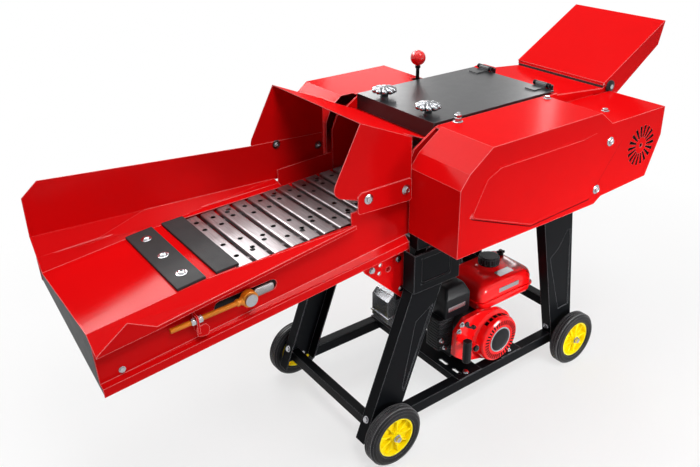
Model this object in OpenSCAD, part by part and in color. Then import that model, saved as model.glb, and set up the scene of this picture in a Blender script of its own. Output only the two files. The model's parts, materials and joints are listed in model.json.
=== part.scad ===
// Chaff cutter with slat conveyor, petrol engine and wheeled stand.
// Feed runs along +X, the long drive guard is on the -Y side, the floor is z = 0.

/* [Stand] */
// Wheel radius
wheel_r = 100; // [85:1:115]
// Tyre width
tyre_w = 48; // [40:1:56]
// Half of the wheelbase
wheel_x = 425; // [410:1:440]
// Inner faces of legs and beams from the middle plane
stand_y = 205; // [205:1:215]
// Depth of the pressed legs across the machine
leg_depth = 40; // [36:1:46]
// Width of the front legs along the machine
leg_w = 120; // [110:1:126]
// Forward lean of the front legs in degrees
leg_rake = 21; // [19.5:0.5:22]
// Height of the leg feet above the floor
foot_z = 80; // [70:1:84]
// Sheet thickness of legs and beds
leg_sheet = 4; // [3:0.5:5]
// Underside of the base beams
beam_z = 86; // [85:1:90]
// Height of the base beams
beam_h = 40; // [36:1:42]
// Underside of the deck beams
deck_z = 690; // [680:1:700]
// Height of the deck beams
deck_h = 45; // [40:1:50]

/* [Conveyor] */
// Rise of the conveyor toward the cutter in degrees
incline = 3; // [2.5:0.1:3.4]
// Height of the slat tops at the hood mouth
conv_z = 808; // [804:1:812]
// Distance between tail and head shafts
conv_len = 995; // [985:1:1005]
// Slats on one run
slat_n = 19; // [19:1:20]
// Slat width along the conveyor
slat_w = 42; // [36:1:44]
// Slat length across the conveyor
slat_l = 332; // [310:2:334]
// Half width of the tray floor
tray_hw = 170; // [169:1:174]
// Outer face of the tray side webs
web_y = 194; // [193:0.5:197]
// Sheet thickness of tray, hood and guards
sheet = 2; // [1.5:0.1:3]
// Depth of the side web lips below the slat tops at the front
web_h = 170; // [164:1:176]
// Height of the far tray wall at its front
wall_h = 150; // [120:1:165]
// Diameter of the conveyor shafts
conv_shaft_d = 26; // [22:1:28]

/* [Cutter] */
// Rotor axis along the machine
rotor_x = 478; // [474:1:486]
// Rotor axis height
rotor_z = 886; // [882:1:890]
// Radius of the knife tips
rotor_r = 120; // [112:1:122]
// Rotor shaft diameter
rotor_d = 35; // [30:1:40]
// Knives on the rotor
knife_n = 4; // [3:1:5]
// Gap between fixed knife and knife tips
knife_gap = 1; // [0.5:0.1:2]
// Radius of the lower feed roller
lower_r = 45; // [40:1:46]
// Radius of the upper feed roller
upper_r = 62; // [54:1:66]
// Nip between the feed rollers at rest
nip = 8; // [5:1:12]
// Lift of the floating upper roller
float_lift = 22; // [15:1:24]
// Inner face of the side plates
side_y = 184; // [183:0.5:185]
// Thickness of the side plates
side_t = 6; // [5:0.5:6]

/* [Covers] */
// Top of the front part of the drive guard
guard_z = 1040; // [1036:1:1044]
// Outer face of the drive guard and the left cover
guard_y = 409; // [395:1:420]
// Radius of the vent rosette
vent_r = 66; // [56:1:72]
// Slots in the vent rosette
vent_n = 18; // [12:1:20]
// Tilt of the discharge chute in degrees
chute_tilt = 29; // [26:0.5:32]
// Length of the discharge chute
chute_len = 350; // [300:5:380]
// Radius of the hand knobs
knob_r = 38; // [30:1:40]
// Radius of the lever ball
ball_r = 26; // [20:1:28]

/* [Engine] */
// Crankshaft axis along the machine
engine_x = 72; // [66:1:78]
// Crankshaft height above the engine beds
crank_h = 92; // [88:1:98]
// Middle of the engine foot across the machine
engine_y = -70; // [-76:1:-64]
// Radius of the recoil cover
recoil_r = 84; // [76:1:88]
// Length of the fuel tank
tank_l = 262; // [240:2:270]
// Width of the fuel tank
tank_w = 190; // [170:2:200]
// Pitch radius of the engine pulley
drive_pulley_r = 45; // [40:1:50]
// Pitch radius of the rotor pulley
rotor_pulley_r = 90; // [80:1:92]

/* [Clearances] */
// Radial play of turning fits
run_fit = 0.05; // [0.02:0.01:0.1]
// Gap between parts that move past each other
pass_gap = 0.5; // [0.3:0.1:1]

/* [Hidden] */
e = 0.01;
leg_y1 = stand_y + leg_depth;
wheel_gap = 11;
wheel_y = leg_y1 + wheel_gap + tyre_w / 2;
axle_r = 6;
beam_top = beam_z + beam_h;
body_z = deck_z + deck_h;
side_o = side_y + side_t;
bed_t = 4;
bed_top = beam_top + bed_t;
crank_z = bed_top + crank_h;
// Conveyor frame: u along the feed, w up from the slat tops
conv_x = -493;
slat_pitch = conv_len / slat_n;
sprocket_r = 3 * slat_pitch / PI;
slat_h = 13;
slat_t = 2;
chain_h = 14;
pitch_w = -slat_h - chain_h / 2;
shaft_w = pitch_w - sprocket_r;
head_u = 635;
tail_u = head_u - conv_len;
chain_y = 118;
tray_u0 = tail_u - 397;
tray_u1 = 200;
hump_u0 = tail_u - 85;
hump_u1 = tail_u - 6;
hump_w = 6.5;
floor_w = -13;
function cvx(u, w) = conv_x + u * cos(incline) - w * sin(incline);
function cvz(u, w) = conv_z + u * sin(incline) + w * cos(incline);
head_x = cvx(head_u, shaft_w);
head_z = cvz(head_u, shaft_w);
roller_u = head_u + 126;
lower_x = cvx(roller_u, -lower_r);
lower_z = cvz(roller_u, -lower_r);
upper_x = lower_x;
upper_z = cvz(roller_u, 0) + nip + upper_r;
roller_shaft_r = 14;
block_hw = 24;
knife_z = cvz(roller_u, 0) - 2;
knife_x = rotor_x - sqrt(pow(rotor_r + knife_gap, 2) - pow(rotor_z - knife_z, 2));
shell_r = rotor_r + 4;
// Covers
body_x0 = -310;
body_x1 = rotor_x + 137;
guard_x0 = -318;
guard_x1 = rotor_x + 105;
cover_x0 = -208;
cover_x1 = 306;
cover_z = guard_z + 5;
side_top = guard_z - 4;
hinge_x = cover_x1 + 4;
hinge_z = cover_z + 9;
pivot_x = 585;
pivot_z = 1011;
lever_x = 66;
lever_y = side_y - 1 + ball_r;
lever_z = 962;
ball_z = 1111;
knob_x = -165;
knob_y = 103;
// Drive line
pulley_y0 = 262;
pulley_w = 36;
drive_shaft_r = 12;

// Block between two corners
module bx(x0, x1, y0, y1, z0, z1)
{
    translate([x0, y0, z0]) cube([x1 - x0, y1 - y0, z1 - z0]);
}
// Round bar along Y
module cy(x, z, y0, y1, r, f = 48)
{
    translate([x, y0, z]) rotate([-90, 0, 0]) cylinder(h = y1 - y0, r = r, $fn = f);
}
// Round bar along Z
module cv(x, y, z0, z1, r, f = 48)
{
    translate([x, y, z0]) cylinder(h = z1 - z0, r = r, $fn = f);
}
// Round bar along X
module ch(x0, x1, y, z, r, f = 48)
{
    translate([x0, y, z]) rotate([0, 90, 0]) cylinder(h = x1 - x0, r = r, $fn = f);
}
// Outline in the XZ plane carried from y0 to y1
module xz(y0, y1)
{
    translate([0, y1, 0]) rotate([90, 0, 0]) linear_extrude(height = y1 - y0) children();
}
// Outline in the YZ plane carried from x0 to x1
module yz(x0, x1)
{
    translate([x0, 0, 0]) rotate([90, 0, 90]) linear_extrude(height = x1 - x0) children();
}
// Points on a quarter of a circle, from angle a
function quarter(x, z, r, a) = [for (k = [0:6]) [x + r * cos(a + 15 * k), z + r * sin(a + 15 * k)]];
// Section with rounded corners, r1 at the foot and r2 at the top
function crown(x0, x1, z0, z1, r1, r2) = concat(quarter(x0 + r1, z0 + r1, r1, 180),
    quarter(x1 - r1, z0 + r1, r1, 270), quarter(x1 - r2, z1 - r2, r2, 0),
    quarter(x0 + r2, z1 - r2, r2, 90));
// Upright block with rounded upright edges
module rbox(x0, x1, y0, y1, z0, z1, r)
{
    bx(x0 + r, x1 - r, y0, y1, z0, z1);
    bx(x0, x1, y0 + r, y1 - r, z0, z1);
    for (x = [x0 + r, x1 - r], y = [y0 + r, y1 - r]) cv(x, y, z0, z1, r, 32);
}
// Pair of mirrored parts
module both()
{
    children();
    mirror([0, 1, 0]) children();
}
// Frame of the conveyor
module conv()
{
    translate([conv_x, 0, conv_z]) rotate([0, -incline, 0]) children();
}
// Thin sheet between four corners, thickened along v
module panel(a, b, c, d, v)
{
    polyhedron(points = [a, b, c, d, a + v, b + v, c + v, d + v],
        faces = [[0, 2, 1], [0, 3, 2], [4, 5, 6], [4, 6, 7], [0, 1, 5], [0, 5, 4], [1, 2, 6],
        [1, 6, 5], [2, 3, 7], [2, 7, 6], [3, 0, 4], [3, 4, 7]], convexity = 4);
}
// Hex head pointing along -Y from face y
module hex_y(x, z, y, s = 9, h = 7)
{
    cy(x, z, y - h, y, s, 6);
    cy(x, z, y - 1.8, y, s * 1.25, 32);
}
// Hex head pointing along -X from face x
module hex_x(x, y, z, s = 9, h = 7)
{
    ch(x - h, x, y, z, s, 6);
    ch(x - 1.8, x, y, z, s * 1.25, 32);
}
// Hex head pointing up from face z
module hex_z(x, y, z, s = 9, h = 7)
{
    cv(x, y, z, z + h, s, 6);
    cv(x, y, z, z + 1.8, s * 1.25, 32);
}

// Stand
function leg_f(z) = -wheel_x - 87 + (z - foot_z) * tan(leg_rake);
function rear_f(z) = wheel_x - 65 - 127 * (z - foot_z) / (deck_z - foot_z);
function rear_b(z) = wheel_x + 38 - 80 * (z - foot_z) / (deck_z - foot_z);

leg_press = 2.2;
module front_leg()
{
    s = leg_sheet / cos(leg_rake);
    difference() {
        xz(stand_y, leg_y1) polygon([[leg_f(foot_z), foot_z], [leg_f(foot_z) + leg_w, foot_z],
            [leg_f(deck_z) + leg_w, deck_z], [leg_f(deck_z), deck_z]]);
        xz(stand_y - 1, leg_y1 - leg_sheet) polygon([[leg_f(foot_z - 1) + s, foot_z - 1],
            [leg_f(foot_z - 1) + leg_w - s, foot_z - 1], [leg_f(deck_z + 1) + leg_w - s, deck_z + 1],
            [leg_f(deck_z + 1) + s, deck_z + 1]]);
        xz(leg_y1 - leg_press, leg_y1 + 1) polygon([[leg_f(228) + leg_w - 25, 228],
            [leg_f(208) + leg_w - 11, 208], [leg_f(488) + leg_w - 9, 488], [leg_f(447) + leg_w - 62, 447]]);
        cy(-wheel_x, wheel_r, leg_y1 - 10, leg_y1 + 1, axle_r + 0.3);
    }
}
module rear_leg()
{
    s = leg_sheet * 1.02;
    difference() {
        xz(stand_y, leg_y1) polygon([[rear_f(foot_z), foot_z], [rear_b(foot_z), foot_z],
            [rear_b(deck_z), deck_z], [rear_f(deck_z), deck_z]]);
        xz(stand_y - 1, leg_y1 - leg_sheet) polygon([[rear_f(foot_z - 1) + s, foot_z - 1],
            [rear_b(foot_z - 1) - s, foot_z - 1], [rear_b(deck_z + 1) - s, deck_z + 1],
            [rear_f(deck_z + 1) + s, deck_z + 1]]);
        xz(leg_y1 - leg_press, leg_y1 + 1) polygon([[rear_f(224) + 45, 224], [rear_b(226) - 14, 226],
            [rear_b(545) - 10, 545], [rear_b(545) - 24, 545], [rear_f(487) + 66, 487],
            [rear_f(457) + 18, 457]]);
        cy(wheel_x, wheel_r, leg_y1 - 10, leg_y1 + 1, axle_r + 0.3);
    }
}
module front_legs() color("#1c1d20") both() front_leg();
module rear_legs() color("#1c1d20") both() rear_leg();

module base_frame() color("#1c1d20")
{
    w = 3;
    yo = leg_y1 - leg_sheet;
    both() difference() {
        xz(stand_y, yo) polygon([[leg_f(beam_z) + leg_w, beam_z], [rear_f(beam_z), beam_z],
            [rear_f(beam_top), beam_top], [leg_f(beam_top) + leg_w, beam_top]]);
        bx(-wheel_x, wheel_x, stand_y + w, yo - w, beam_z + w, beam_top - w);
    }
    difference() {
        bx(-wheel_x - 44, -wheel_x - 12, -yo, yo, beam_z + 4, beam_top);
        bx(-wheel_x - 41, -wheel_x - 15, -yo - 1, yo + 1, beam_z + 7, beam_top - w);
    }
    difference() {
        bx(wheel_x - 58, wheel_x - 24, -yo, yo, 205, 240);
        bx(wheel_x - 55, wheel_x - 27, -yo - 1, yo + 1, 208, 237);
    }
}
spare_x = engine_x - 152;
spare_y = -168;
spare_gap = 66;
spare_slot_l = 40;
spare_slot_w = 12;
foot_dx = 162;
foot_dy = 75.5;
foot_x0 = engine_x - 96;
module slot_y(x, y, l, w, z0, z1)
{
    bx(x - w / 2, x + w / 2, y - l / 2 + w / 2, y + l / 2 - w / 2, z0, z1);
    for (s = [-1, 1]) cv(x, y + s * (l - w) / 2, z0, z1, w / 2);
}
module bed(x0, x1)
{
    yo = leg_y1 - leg_sheet;
    bx(x0, x1, -yo, yo, beam_top, bed_top);
    for (x = [x0, x1 - bed_t]) bx(x, x + bed_t, -stand_y + 1, stand_y - 1, beam_top - 24, bed_top);
}
module engine_beds() color("#1c1d20") difference()
{
    union() {
        bed(engine_x - 178, engine_x - 74);
        bed(engine_x + 26, engine_x + 122);
    }
    for (s = [-1, 1]) slot_y(spare_x, spare_y + s * spare_gap / 2, spare_slot_l, spare_slot_w,
        beam_top - 1, bed_top + 1);
    for (x = [foot_x0, foot_x0 + foot_dx], s = [-1, 1])
        cv(x, engine_y + s * foot_dy / 2, beam_top - 1, bed_top + 1, 4.5);
}
cap_top = deck_z - 6;
module leg_caps() color("#17181b") both()
{
    x0 = leg_f(557) - 5;
    x1 = leg_f(deck_z) + leg_w + 6;
    difference() {
        bx(x0, x1, stand_y, leg_y1 + 11, 557, cap_top);
        bx(x0 + 4, x1 - 4, stand_y - 1, leg_y1 + 5, 556, cap_top + 1);
        bx(x0 + 28, x1 - 38, leg_y1 + 8, leg_y1 + 12, 582, 668);
    }
    bx(x0 + 4, x0 + 60, leg_y1, leg_y1 + 5 + e, 600, 640);
}
module deck_frame() color("#1c1d20")
{
    yo = leg_y1 - leg_sheet;
    both() {
        difference() {
            bx(-312, 430, stand_y, yo, deck_z, body_z);
            bx(-309, 427, stand_y + 3, yo - 3, deck_z + 3, body_z - 3);
        }
        bx(-345, -276, web_y - 18, web_y - 8, 505, 640);
        bx(-286, -276, web_y - 18, stand_y, 505, body_z);
        bx(-286, -276, stand_y - 1, stand_y + 1, deck_z + 1, body_z);
        bx(360, 430, side_y - 30, stand_y, body_z - 8, body_z);
    }
    bx(396, 430, -stand_y, stand_y, deck_z, body_z - 8);
}
module wheel_axles() color("#b9bcc0") for (x = [-wheel_x, wheel_x]) both()
{
    yo = leg_y1 - leg_sheet;
    cy(x, wheel_r, yo - 8, wheel_y + tyre_w / 2 + 8, axle_r);
    cy(x, wheel_r, yo - 9, yo, 11, 6);
    cy(x, wheel_r, leg_y1, wheel_y - 22, 10);
    cy(x, wheel_r, wheel_y + 22.5, wheel_y + 24.5, 13);
    cy(x, wheel_r, wheel_y + 24.5, wheel_y + 33, 10, 6);
}
module tyre_at(x, y) translate([x, y, wheel_r]) rotate([-90, 0, 0])
{
    h = tyre_w / 2;
    r0 = wheel_r * 0.66;
    rotate_extrude($fn = 96) polygon([[r0, -h + 5], [r0 + 5, -h + 1], [wheel_r - 16, -h],
        [wheel_r - 7, -h + 3], [wheel_r - 2, -h + 9], [wheel_r, -14], [wheel_r - 3, -13],
        [wheel_r - 3, -10.5], [wheel_r, -9.5], [wheel_r, -4], [wheel_r - 3, -3], [wheel_r - 3, -0.5],
        [wheel_r, 0.5], [wheel_r, 6], [wheel_r - 3, 7], [wheel_r - 3, 9.5], [wheel_r, 10.5],
        [wheel_r, 13], [wheel_r - 2, h - 9], [wheel_r - 7, h - 3], [wheel_r - 16, h],
        [r0 + 5, h - 1], [r0, h - 5]]);
}
module rim_at(x, y, s) translate([x, y, wheel_r]) rotate([-90 * s, 0, 0]) difference()
{
    r0 = wheel_r * 0.66;
    h = tyre_w / 2;
    union() {
        rotate_extrude($fn = 96) polygon([[axle_r + 8, -22], [axle_r + 8, 22], [axle_r + 2, 22],
            [axle_r + 2, -22]]);
        rotate_extrude($fn = 96) polygon([[axle_r + 7, -4], [r0 - 5, -4], [r0 - 5, -h + 6],
            [r0, -h + 6], [r0, h - 6], [r0 - 5, h - 6], [r0 - 5, 2], [axle_r + 7, 2]]);
        for (k = [0:8]) rotate([0, 0, 40 * k]) translate([axle_r + 7, -1.6, -16])
            cube([r0 - axle_r - 10, 3.2, 30]);
        cylinder(h = 44, r = axle_r + 9, center = true, $fn = 48);
    }
    cylinder(h = 60, r = axle_r + run_fit, center = true, $fn = 48);
}
module tyre_fr() color("#26272a") tyre_at(-wheel_x, -wheel_y);
module tyre_fl() color("#26272a") tyre_at(-wheel_x, wheel_y);
module tyre_rr() color("#26272a") tyre_at(wheel_x, -wheel_y);
module tyre_rl() color("#26272a") tyre_at(wheel_x, wheel_y);
module rim_fr() color("#f2c912") rim_at(-wheel_x, -wheel_y, -1);
module rim_fl() color("#f2c912") rim_at(-wheel_x, wheel_y, 1);
module rim_rr() color("#f2c912") rim_at(wheel_x, -wheel_y, -1);
module rim_rl() color("#f2c912") rim_at(wheel_x, wheel_y, 1);

// Loading tray
takeup_w = shaft_w;
rim_y = 215;
rim_wf = -52;
rim_wr = 18;
rim_u1 = -20;
fold_wf = 76;
fold_wr = 8;
slot_half = 75;
web_rise = 42;
ledge_y = 212;
ledge_u1 = 168;
front_cut = 80;
function low_w(u) = -web_h + web_rise * (u - tray_u0) / (tray_u1 - tray_u0);
function edge_w(u) = low_w(u) + 24;
function fold_w(u) = low_w(u) + 28 + 12 * (u - tray_u0) / (tray_u1 - tray_u0);
module web(front_w, rear_w, cut, s) scale([1, s, 1]) difference()
{
    xz(web_y - 4, web_y) polygon([[tray_u0, cut > 0 ? -44 : fold_w(tray_u0)],
        [tray_u0 + cut, fold_w(tray_u0 + cut)], [tray_u1, fold_w(tray_u1)], [tray_u1, 46], [rim_u1, 46],
        [rim_u1, rear_w], [tray_u0, front_w]]);
    cy(tail_u - slot_half, takeup_w, web_y - 6, web_y + 6, conv_shaft_d / 2 + 3);
    cy(tail_u + slot_half, takeup_w, web_y - 6, web_y + 6, conv_shaft_d / 2 + 3);
    bx(tail_u - slot_half, tail_u + slot_half, web_y - 6, web_y + 6,
        takeup_w - conv_shaft_d / 2 - 3, takeup_w + conv_shaft_d / 2 + 3);
}
module web_lip(u0, s) scale([1, s, 1]) xz(ledge_y - sheet, ledge_y) polygon([[u0, edge_w(u0)],
    [u0, low_w(u0)], [ledge_u1, low_w(ledge_u1)], [ledge_u1, edge_w(ledge_u1)]]);
rail_u0 = tail_u + 76;
rail_u1 = tray_u1 - 20;
rail_gap = 0.3;
module rails() both()
{
    bx(rail_u0, rail_u1, 150, web_y - 4 + e, -slat_h - rail_gap - 2, -slat_h - rail_gap);
    bx(rail_u0, rail_u1, 173, 175, 2 * shaft_w - rail_gap - 2, -slat_h - rail_gap - 1);
    bx(rail_u0, rail_u1, 150, 175, 2 * shaft_w - rail_gap - 2, 2 * shaft_w - rail_gap);
}
function lip_w(u, f, r) = f + (r - f) * (u - tray_u0) / (rim_u1 - tray_u0);
module tray() color("#d3101a") conv()
{
    t = [0, 0, -sheet];
    xz(-tray_hw - e, tray_hw + e) polygon([[tray_u0, floor_w], [hump_u0, hump_w], [hump_u1, hump_w],
        [hump_u1, hump_w - sheet], [hump_u0, hump_w - sheet], [tray_u0, floor_w - sheet]]);
    panel([tray_u0, -tray_hw, floor_w], [tray_u0, -rim_y, rim_wf], [hump_u0, -rim_y,
        lip_w(hump_u0, rim_wf, rim_wr)], [hump_u0, -tray_hw, hump_w], t);
    panel([hump_u0, -tray_hw, hump_w], [hump_u0, -rim_y, lip_w(hump_u0, rim_wf, rim_wr)],
        [rim_u1, -rim_y, rim_wr], [rim_u1, -tray_hw, -3], t);
    panel([tray_u0, tray_hw, floor_w], [hump_u0, tray_hw, hump_w], [hump_u0, rim_y,
        lip_w(hump_u0, fold_wf, fold_wr)], [tray_u0, rim_y, fold_wf], t);
    panel([hump_u0, tray_hw, hump_w], [rim_u1, tray_hw, -3], [rim_u1, rim_y, fold_wr],
        [hump_u0, rim_y, lip_w(hump_u0, fold_wf, fold_wr)], t);
    web(-36, 4, 0, -1);
    web(24, 2, front_cut, 1);
    web_lip(tray_u0, -1);
    web_lip(tray_u0 + front_cut, 1);
    panel([tray_u0, -web_y + 0.5, fold_w(tray_u0)], [tray_u0, -ledge_y, edge_w(tray_u0)],
        [ledge_u1, -ledge_y, edge_w(ledge_u1)], [ledge_u1, -web_y + 0.5, fold_w(ledge_u1)], t);
    panel([tray_u0 + front_cut, web_y - 0.5, fold_w(tray_u0 + front_cut)], [ledge_u1, web_y - 0.5,
        fold_w(ledge_u1)], [ledge_u1, ledge_y, edge_w(ledge_u1)], [tray_u0 + front_cut, ledge_y,
        edge_w(tray_u0 + front_cut)], t);
    rails();
    xz(rim_y, rim_y + sheet) polygon([[tray_u0, fold_wf - 3], [rim_u1, fold_wr - 3], [tray_u1 - 30, -5],
        [tray_u1 - 30, 112], [-100, 140], [tray_u0 + 50, fold_wf + wall_h - 4],
        [tray_u0 + 4, fold_wf + wall_h - 40]]);
    xz(-rim_y - sheet, -rim_y) polygon([[tray_u0, rim_wf - 3], [tray_u0 + 4, rim_wf + 4],
        [tray_u0 + 84, 5], [tray_u0 + 150, lip_w(tray_u0 + 150, rim_wf, rim_wr) + 2],
        [rim_u1, rim_wr], [rim_u1, rim_wr - 10],
        [tray_u0 + 150, lip_w(tray_u0 + 150, rim_wf, rim_wr) - 8]]);
    bx(rim_u1, tray_u1 - 30, web_y - e, rim_y + e, -5, -3);
    both() difference() {
        bx(tail_u - 150, tail_u - 144, web_y - e, web_y + 24, takeup_w - 34, takeup_w + 14);
        ch(tail_u - 151, tail_u - 143, web_y + 14, takeup_w, 7);
    }
}
module tray_end_plate() color("#2b2c2f") conv() translate([tray_u0 + 1, 0, 0]) rotate([90, 0, 90])
    linear_extrude(height = 3) polygon([[-ledge_y + sheet + 1, low_w(tray_u0) + 2],
    [-ledge_y + sheet + 1, low_w(tray_u0) + 19], [-web_y + 4, low_w(tray_u0) + 19], [-web_y + 4, -34.5],
    [-tray_hw, floor_w - sheet - 1.5], [web_y - 4, floor_w - sheet - 1.5], [web_y - 4, -44]]);
module tray_brackets() color("#d3101a") both() difference()
{
    xz(web_y - 8, web_y - 4) polygon([[-469, 652], [-464, 643], [-322, 508], [-315, 504], [-309, 506],
        [-307, 512], [-307, 690], [-469, 690]]);
    cy(-412, 626, web_y - 10, web_y, 6);
    cy(-408, 652, web_y - 10, web_y, 6);
    cy(-378, 629, web_y - 10, web_y, 9);
}
strip_t = 8;
module rubber_strips() color("#303134") conv()
{
    a = atan2(hump_w - floor_w, hump_u0 - tray_u0);
    translate([hump_u0 - 2, 0, hump_w]) rotate([0, -a, 0])
        bx(-80, -2, -tray_hw + 2, tray_hw - 2, 0.2, strip_t);
    bx(hump_u0 + 24, hump_u1 + 10, -tray_hw + 2, tray_hw - 2, hump_w, hump_w + strip_t);
}
module dome_bolts() color("#c4c6ca") conv()
{
    a = atan2(hump_w - floor_w, hump_u0 - tray_u0);
    translate([hump_u0 - 2, 0, hump_w]) rotate([0, -a, 0]) for (y = [-112, 0, 112])
    {
        cv(-41, y, strip_t, strip_t + 2, 15, 48);
        cv(-41, y, strip_t + 2, strip_t + 6, 11, 48);
        cv(-41, y, strip_t + 6, strip_t + 8, 7.5, 48);
    }
}
hood_y = 219.2;
hood_fx = -502;
hood_fz = 1117;
hood_rx = cover_x0 + 2;
flange_z = 1014;
function hood_z(x) = hood_fz + (x - hood_fx) * (1000 - hood_fz) / (-232 - hood_fx);
module hood_side() xz(hood_y - sheet, hood_y)
{
    polygon([[hood_fx, hood_fz], [-585, 960], [-588, 946], [-584, 934], [-572, 922], [-556, 916],
        [-498, 896], [-498, 860], [-324, 852], [-324, hood_z(-324)]]);
}
module hood() color("#d3101a")
{
    t = sheet;
    both() hood_side();
    both() xz(hood_y, hood_y + 3) polygon([[-512, 864], [-506, 858], [-330, 851], [-324, 857],
        [-324, 914], [-330, 920], [-500, 920], [-512, 910]]);
    bx(-498, -324, -hood_y + sheet - e, -web_y, 858, 860);
    xz(-hood_y, hood_y) polygon([[hood_fx, hood_fz], [-324, hood_z(-324)], [-324, hood_z(-324) - t],
        [hood_fx, hood_fz - t]]);
    difference() {
        xz(-side_y + 4, side_y - 4) polygon([[-325, hood_z(-325)], [hood_rx, hood_z(hood_rx)],
            [hood_rx, flange_z], [knob_x + 26, flange_z], [knob_x + 26, flange_z - 3],
            [hood_rx + t, flange_z - 3],
            [hood_rx + t, hood_z(hood_rx + t) - t], [-325, hood_z(-325) - t]]);
        for (k = [-1, 1]) cv(knob_x, k * knob_y, flange_z - 5, flange_z + 1, 8.5);
    }
}
module takeup_screws() color("#d9871c") conv() both()
{
    y = web_y + 14;
    difference() {
        union() {
            cy(tail_u, takeup_w, web_y + 4, web_y + 24, 22, 48);
            ch(tail_u - 36, tail_u - 16, y, takeup_w, 9);
        }
        cy(tail_u, takeup_w, web_y - 1, web_y + 30, conv_shaft_d / 2 + run_fit);
    }
    ch(tail_u - 232, tail_u - 30, y, takeup_w, 6.5);
    ch(tail_u - 162, tail_u - 150, y, takeup_w, 10, 6);
    ch(tail_u - 144, tail_u - 132, y, takeup_w, 10, 6);
}

// Conveyor
link_w = 12;
module slat(holes)
{
    h = slat_w / 2;
    l = slat_l / 2;
    difference() {
        union() {
            bx(-h, h, -l, l, -slat_t, 0);
            bx(-h, -h + slat_t, -l, l, -slat_h, -slat_t + e);
            bx(h - slat_t, h, -l, l, -slat_h, -slat_t + e);
        }
        if (holes) for (y = [-l + 26, -60, 60, l - 26]) cv(y > 0 ? 7 : -7, y, -4, 1, 4.5, 24);
    }
}
module links(a, b) for (s = [-1, 1])
{
    bx(a, b, s * chain_y - link_w / 2, s * chain_y + link_w / 2, -slat_h - chain_h, -slat_h + e);
}
module run(holes)
{
    h = slat_w / 2;
    for (i = [0:slat_n - 1]) translate([tail_u + slat_pitch * (i + 0.5), 0, 0]) slat(holes);
    links(tail_u + slat_pitch / 2 - h, head_u - slat_pitch / 2 + h);
}
module wrap(u, s)
{
    for (a = [30, 90, 150])
        translate([u, 0, shaft_w]) rotate([0, s * a, 0])
        translate([0, 0, sprocket_r + chain_h / 2 + slat_h])
    {
        slat(false);
        links(-slat_w / 2, slat_w / 2);
        for (k = [-1, 1]) bx(-5, 5, k * chain_y - 4, k * chain_y + 4,
            -slat_h - chain_h - 14, -slat_h - chain_h + 1);
    }
    for (k = [-1, 1]) cy(u, shaft_w, k * chain_y - 5, k * chain_y + 5,
        sprocket_r - chain_h / 2 - rail_gap);
    for (k = [-1, 1]) cy(u, shaft_w, k * chain_y - 18, k * chain_y + 18, conv_shaft_d / 2 + 9);
}
module top_run() color("#a9a3a3") conv() run(true);
module bottom_run() color("#a9a3a3") conv() translate([0, 0, 2 * shaft_w]) mirror([0, 0, 1]) run(false);
module head_shaft() color("#8e9094") conv()
{
    wrap(head_u, 1);
    cy(head_u, shaft_w, -side_o - 52, side_o + 24, conv_shaft_d / 2);
    cy(head_u, shaft_w, -side_o - 50, -side_o - 34, 26);
}
module tail_shaft() color("#8e9094") conv()
{
    wrap(tail_u, -1);
    cy(tail_u, shaft_w, -web_y - 29, web_y + 29, conv_shaft_d / 2);
    for (s = [-1, 1]) cy(tail_u, shaft_w, s > 0 ? web_y + 24.4 : -web_y - 30, s > 0 ? web_y + 30 :
        -web_y - 24.4, conv_shaft_d / 2 + 4);
}

// Cutter body
slot_w = roller_shaft_r + 3;
module side_plate() difference()
{
    union() {
        xz(side_y, side_o) polygon([[body_x0, body_z], [body_x1, body_z], [body_x1 - 2, rotor_z - 4],
            [pivot_x + 50, 972], [pivot_x + 16, 996], [pivot_x + 12, pivot_z + 12],
            [pivot_x - 14, pivot_z + 12], [pivot_x - 34, 1008], [hinge_x + 4, side_top - 6],
            [hinge_x + 4, side_top], [cover_x0 + 2, side_top], [-290, 985], [body_x0, 940]]);
        bx(body_x0 + 22, 426, side_o - e, leg_y1 - leg_sheet, body_z, body_z + 4);
    }
    cy(head_x, head_z, side_y - 1, side_o + 1, conv_shaft_d / 2 + 4);
    cy(lower_x, lower_z, side_y - 1, side_o + 1, roller_shaft_r + 4);
    cy(upper_x, upper_z, side_y - 1, side_o + 1, slot_w);
    cy(upper_x, upper_z + float_lift, side_y - 1, side_o + 1, slot_w);
    bx(upper_x - slot_w, upper_x + slot_w, side_y - 1, side_o + 1, upper_z, upper_z + float_lift);
    cy(rotor_x, rotor_z, side_y - 1, side_o + 1, rotor_d / 2 + 5);
    cy(pivot_x, pivot_z, side_y - 1, side_o + 1, 6);
}
module side_plate_right() color("#c20f18") mirror([0, 1, 0]) side_plate();
module side_plate_left() color("#c20f18") side_plate();
module rotor_housing() color("#b80e17")
{
    difference() {
        cy(rotor_x, rotor_z, -side_y, side_y, shell_r + 2, 96);
        cy(rotor_x, rotor_z, -side_y - 1, side_y + 1, shell_r, 96);
        bx(rotor_x - 200, rotor_x - 20, -side_y - 1, side_y + 1, knife_z - 14, rotor_z + 96);
        xz(-side_y - 1, side_y + 1) polygon([[rotor_x + 36, rotor_z + 200], [rotor_x + 36, rotor_z + 90],
            [rotor_x + 90, rotor_z - 4], [rotor_x + 200, rotor_z - 4], [rotor_x + 200, rotor_z + 200]]);
    }
    xz(-side_y, side_y) polygon([[rotor_x + shell_r - 1, rotor_z - 12],
        [rotor_x + shell_r + 2, rotor_z - 12], [pivot_x + 44, 970], [pivot_x + 41, 970]]);
    bx(lower_x + lower_r + 5, knife_x - 4, -side_y, side_y, knife_z - 44, knife_z - 14);
}
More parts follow.
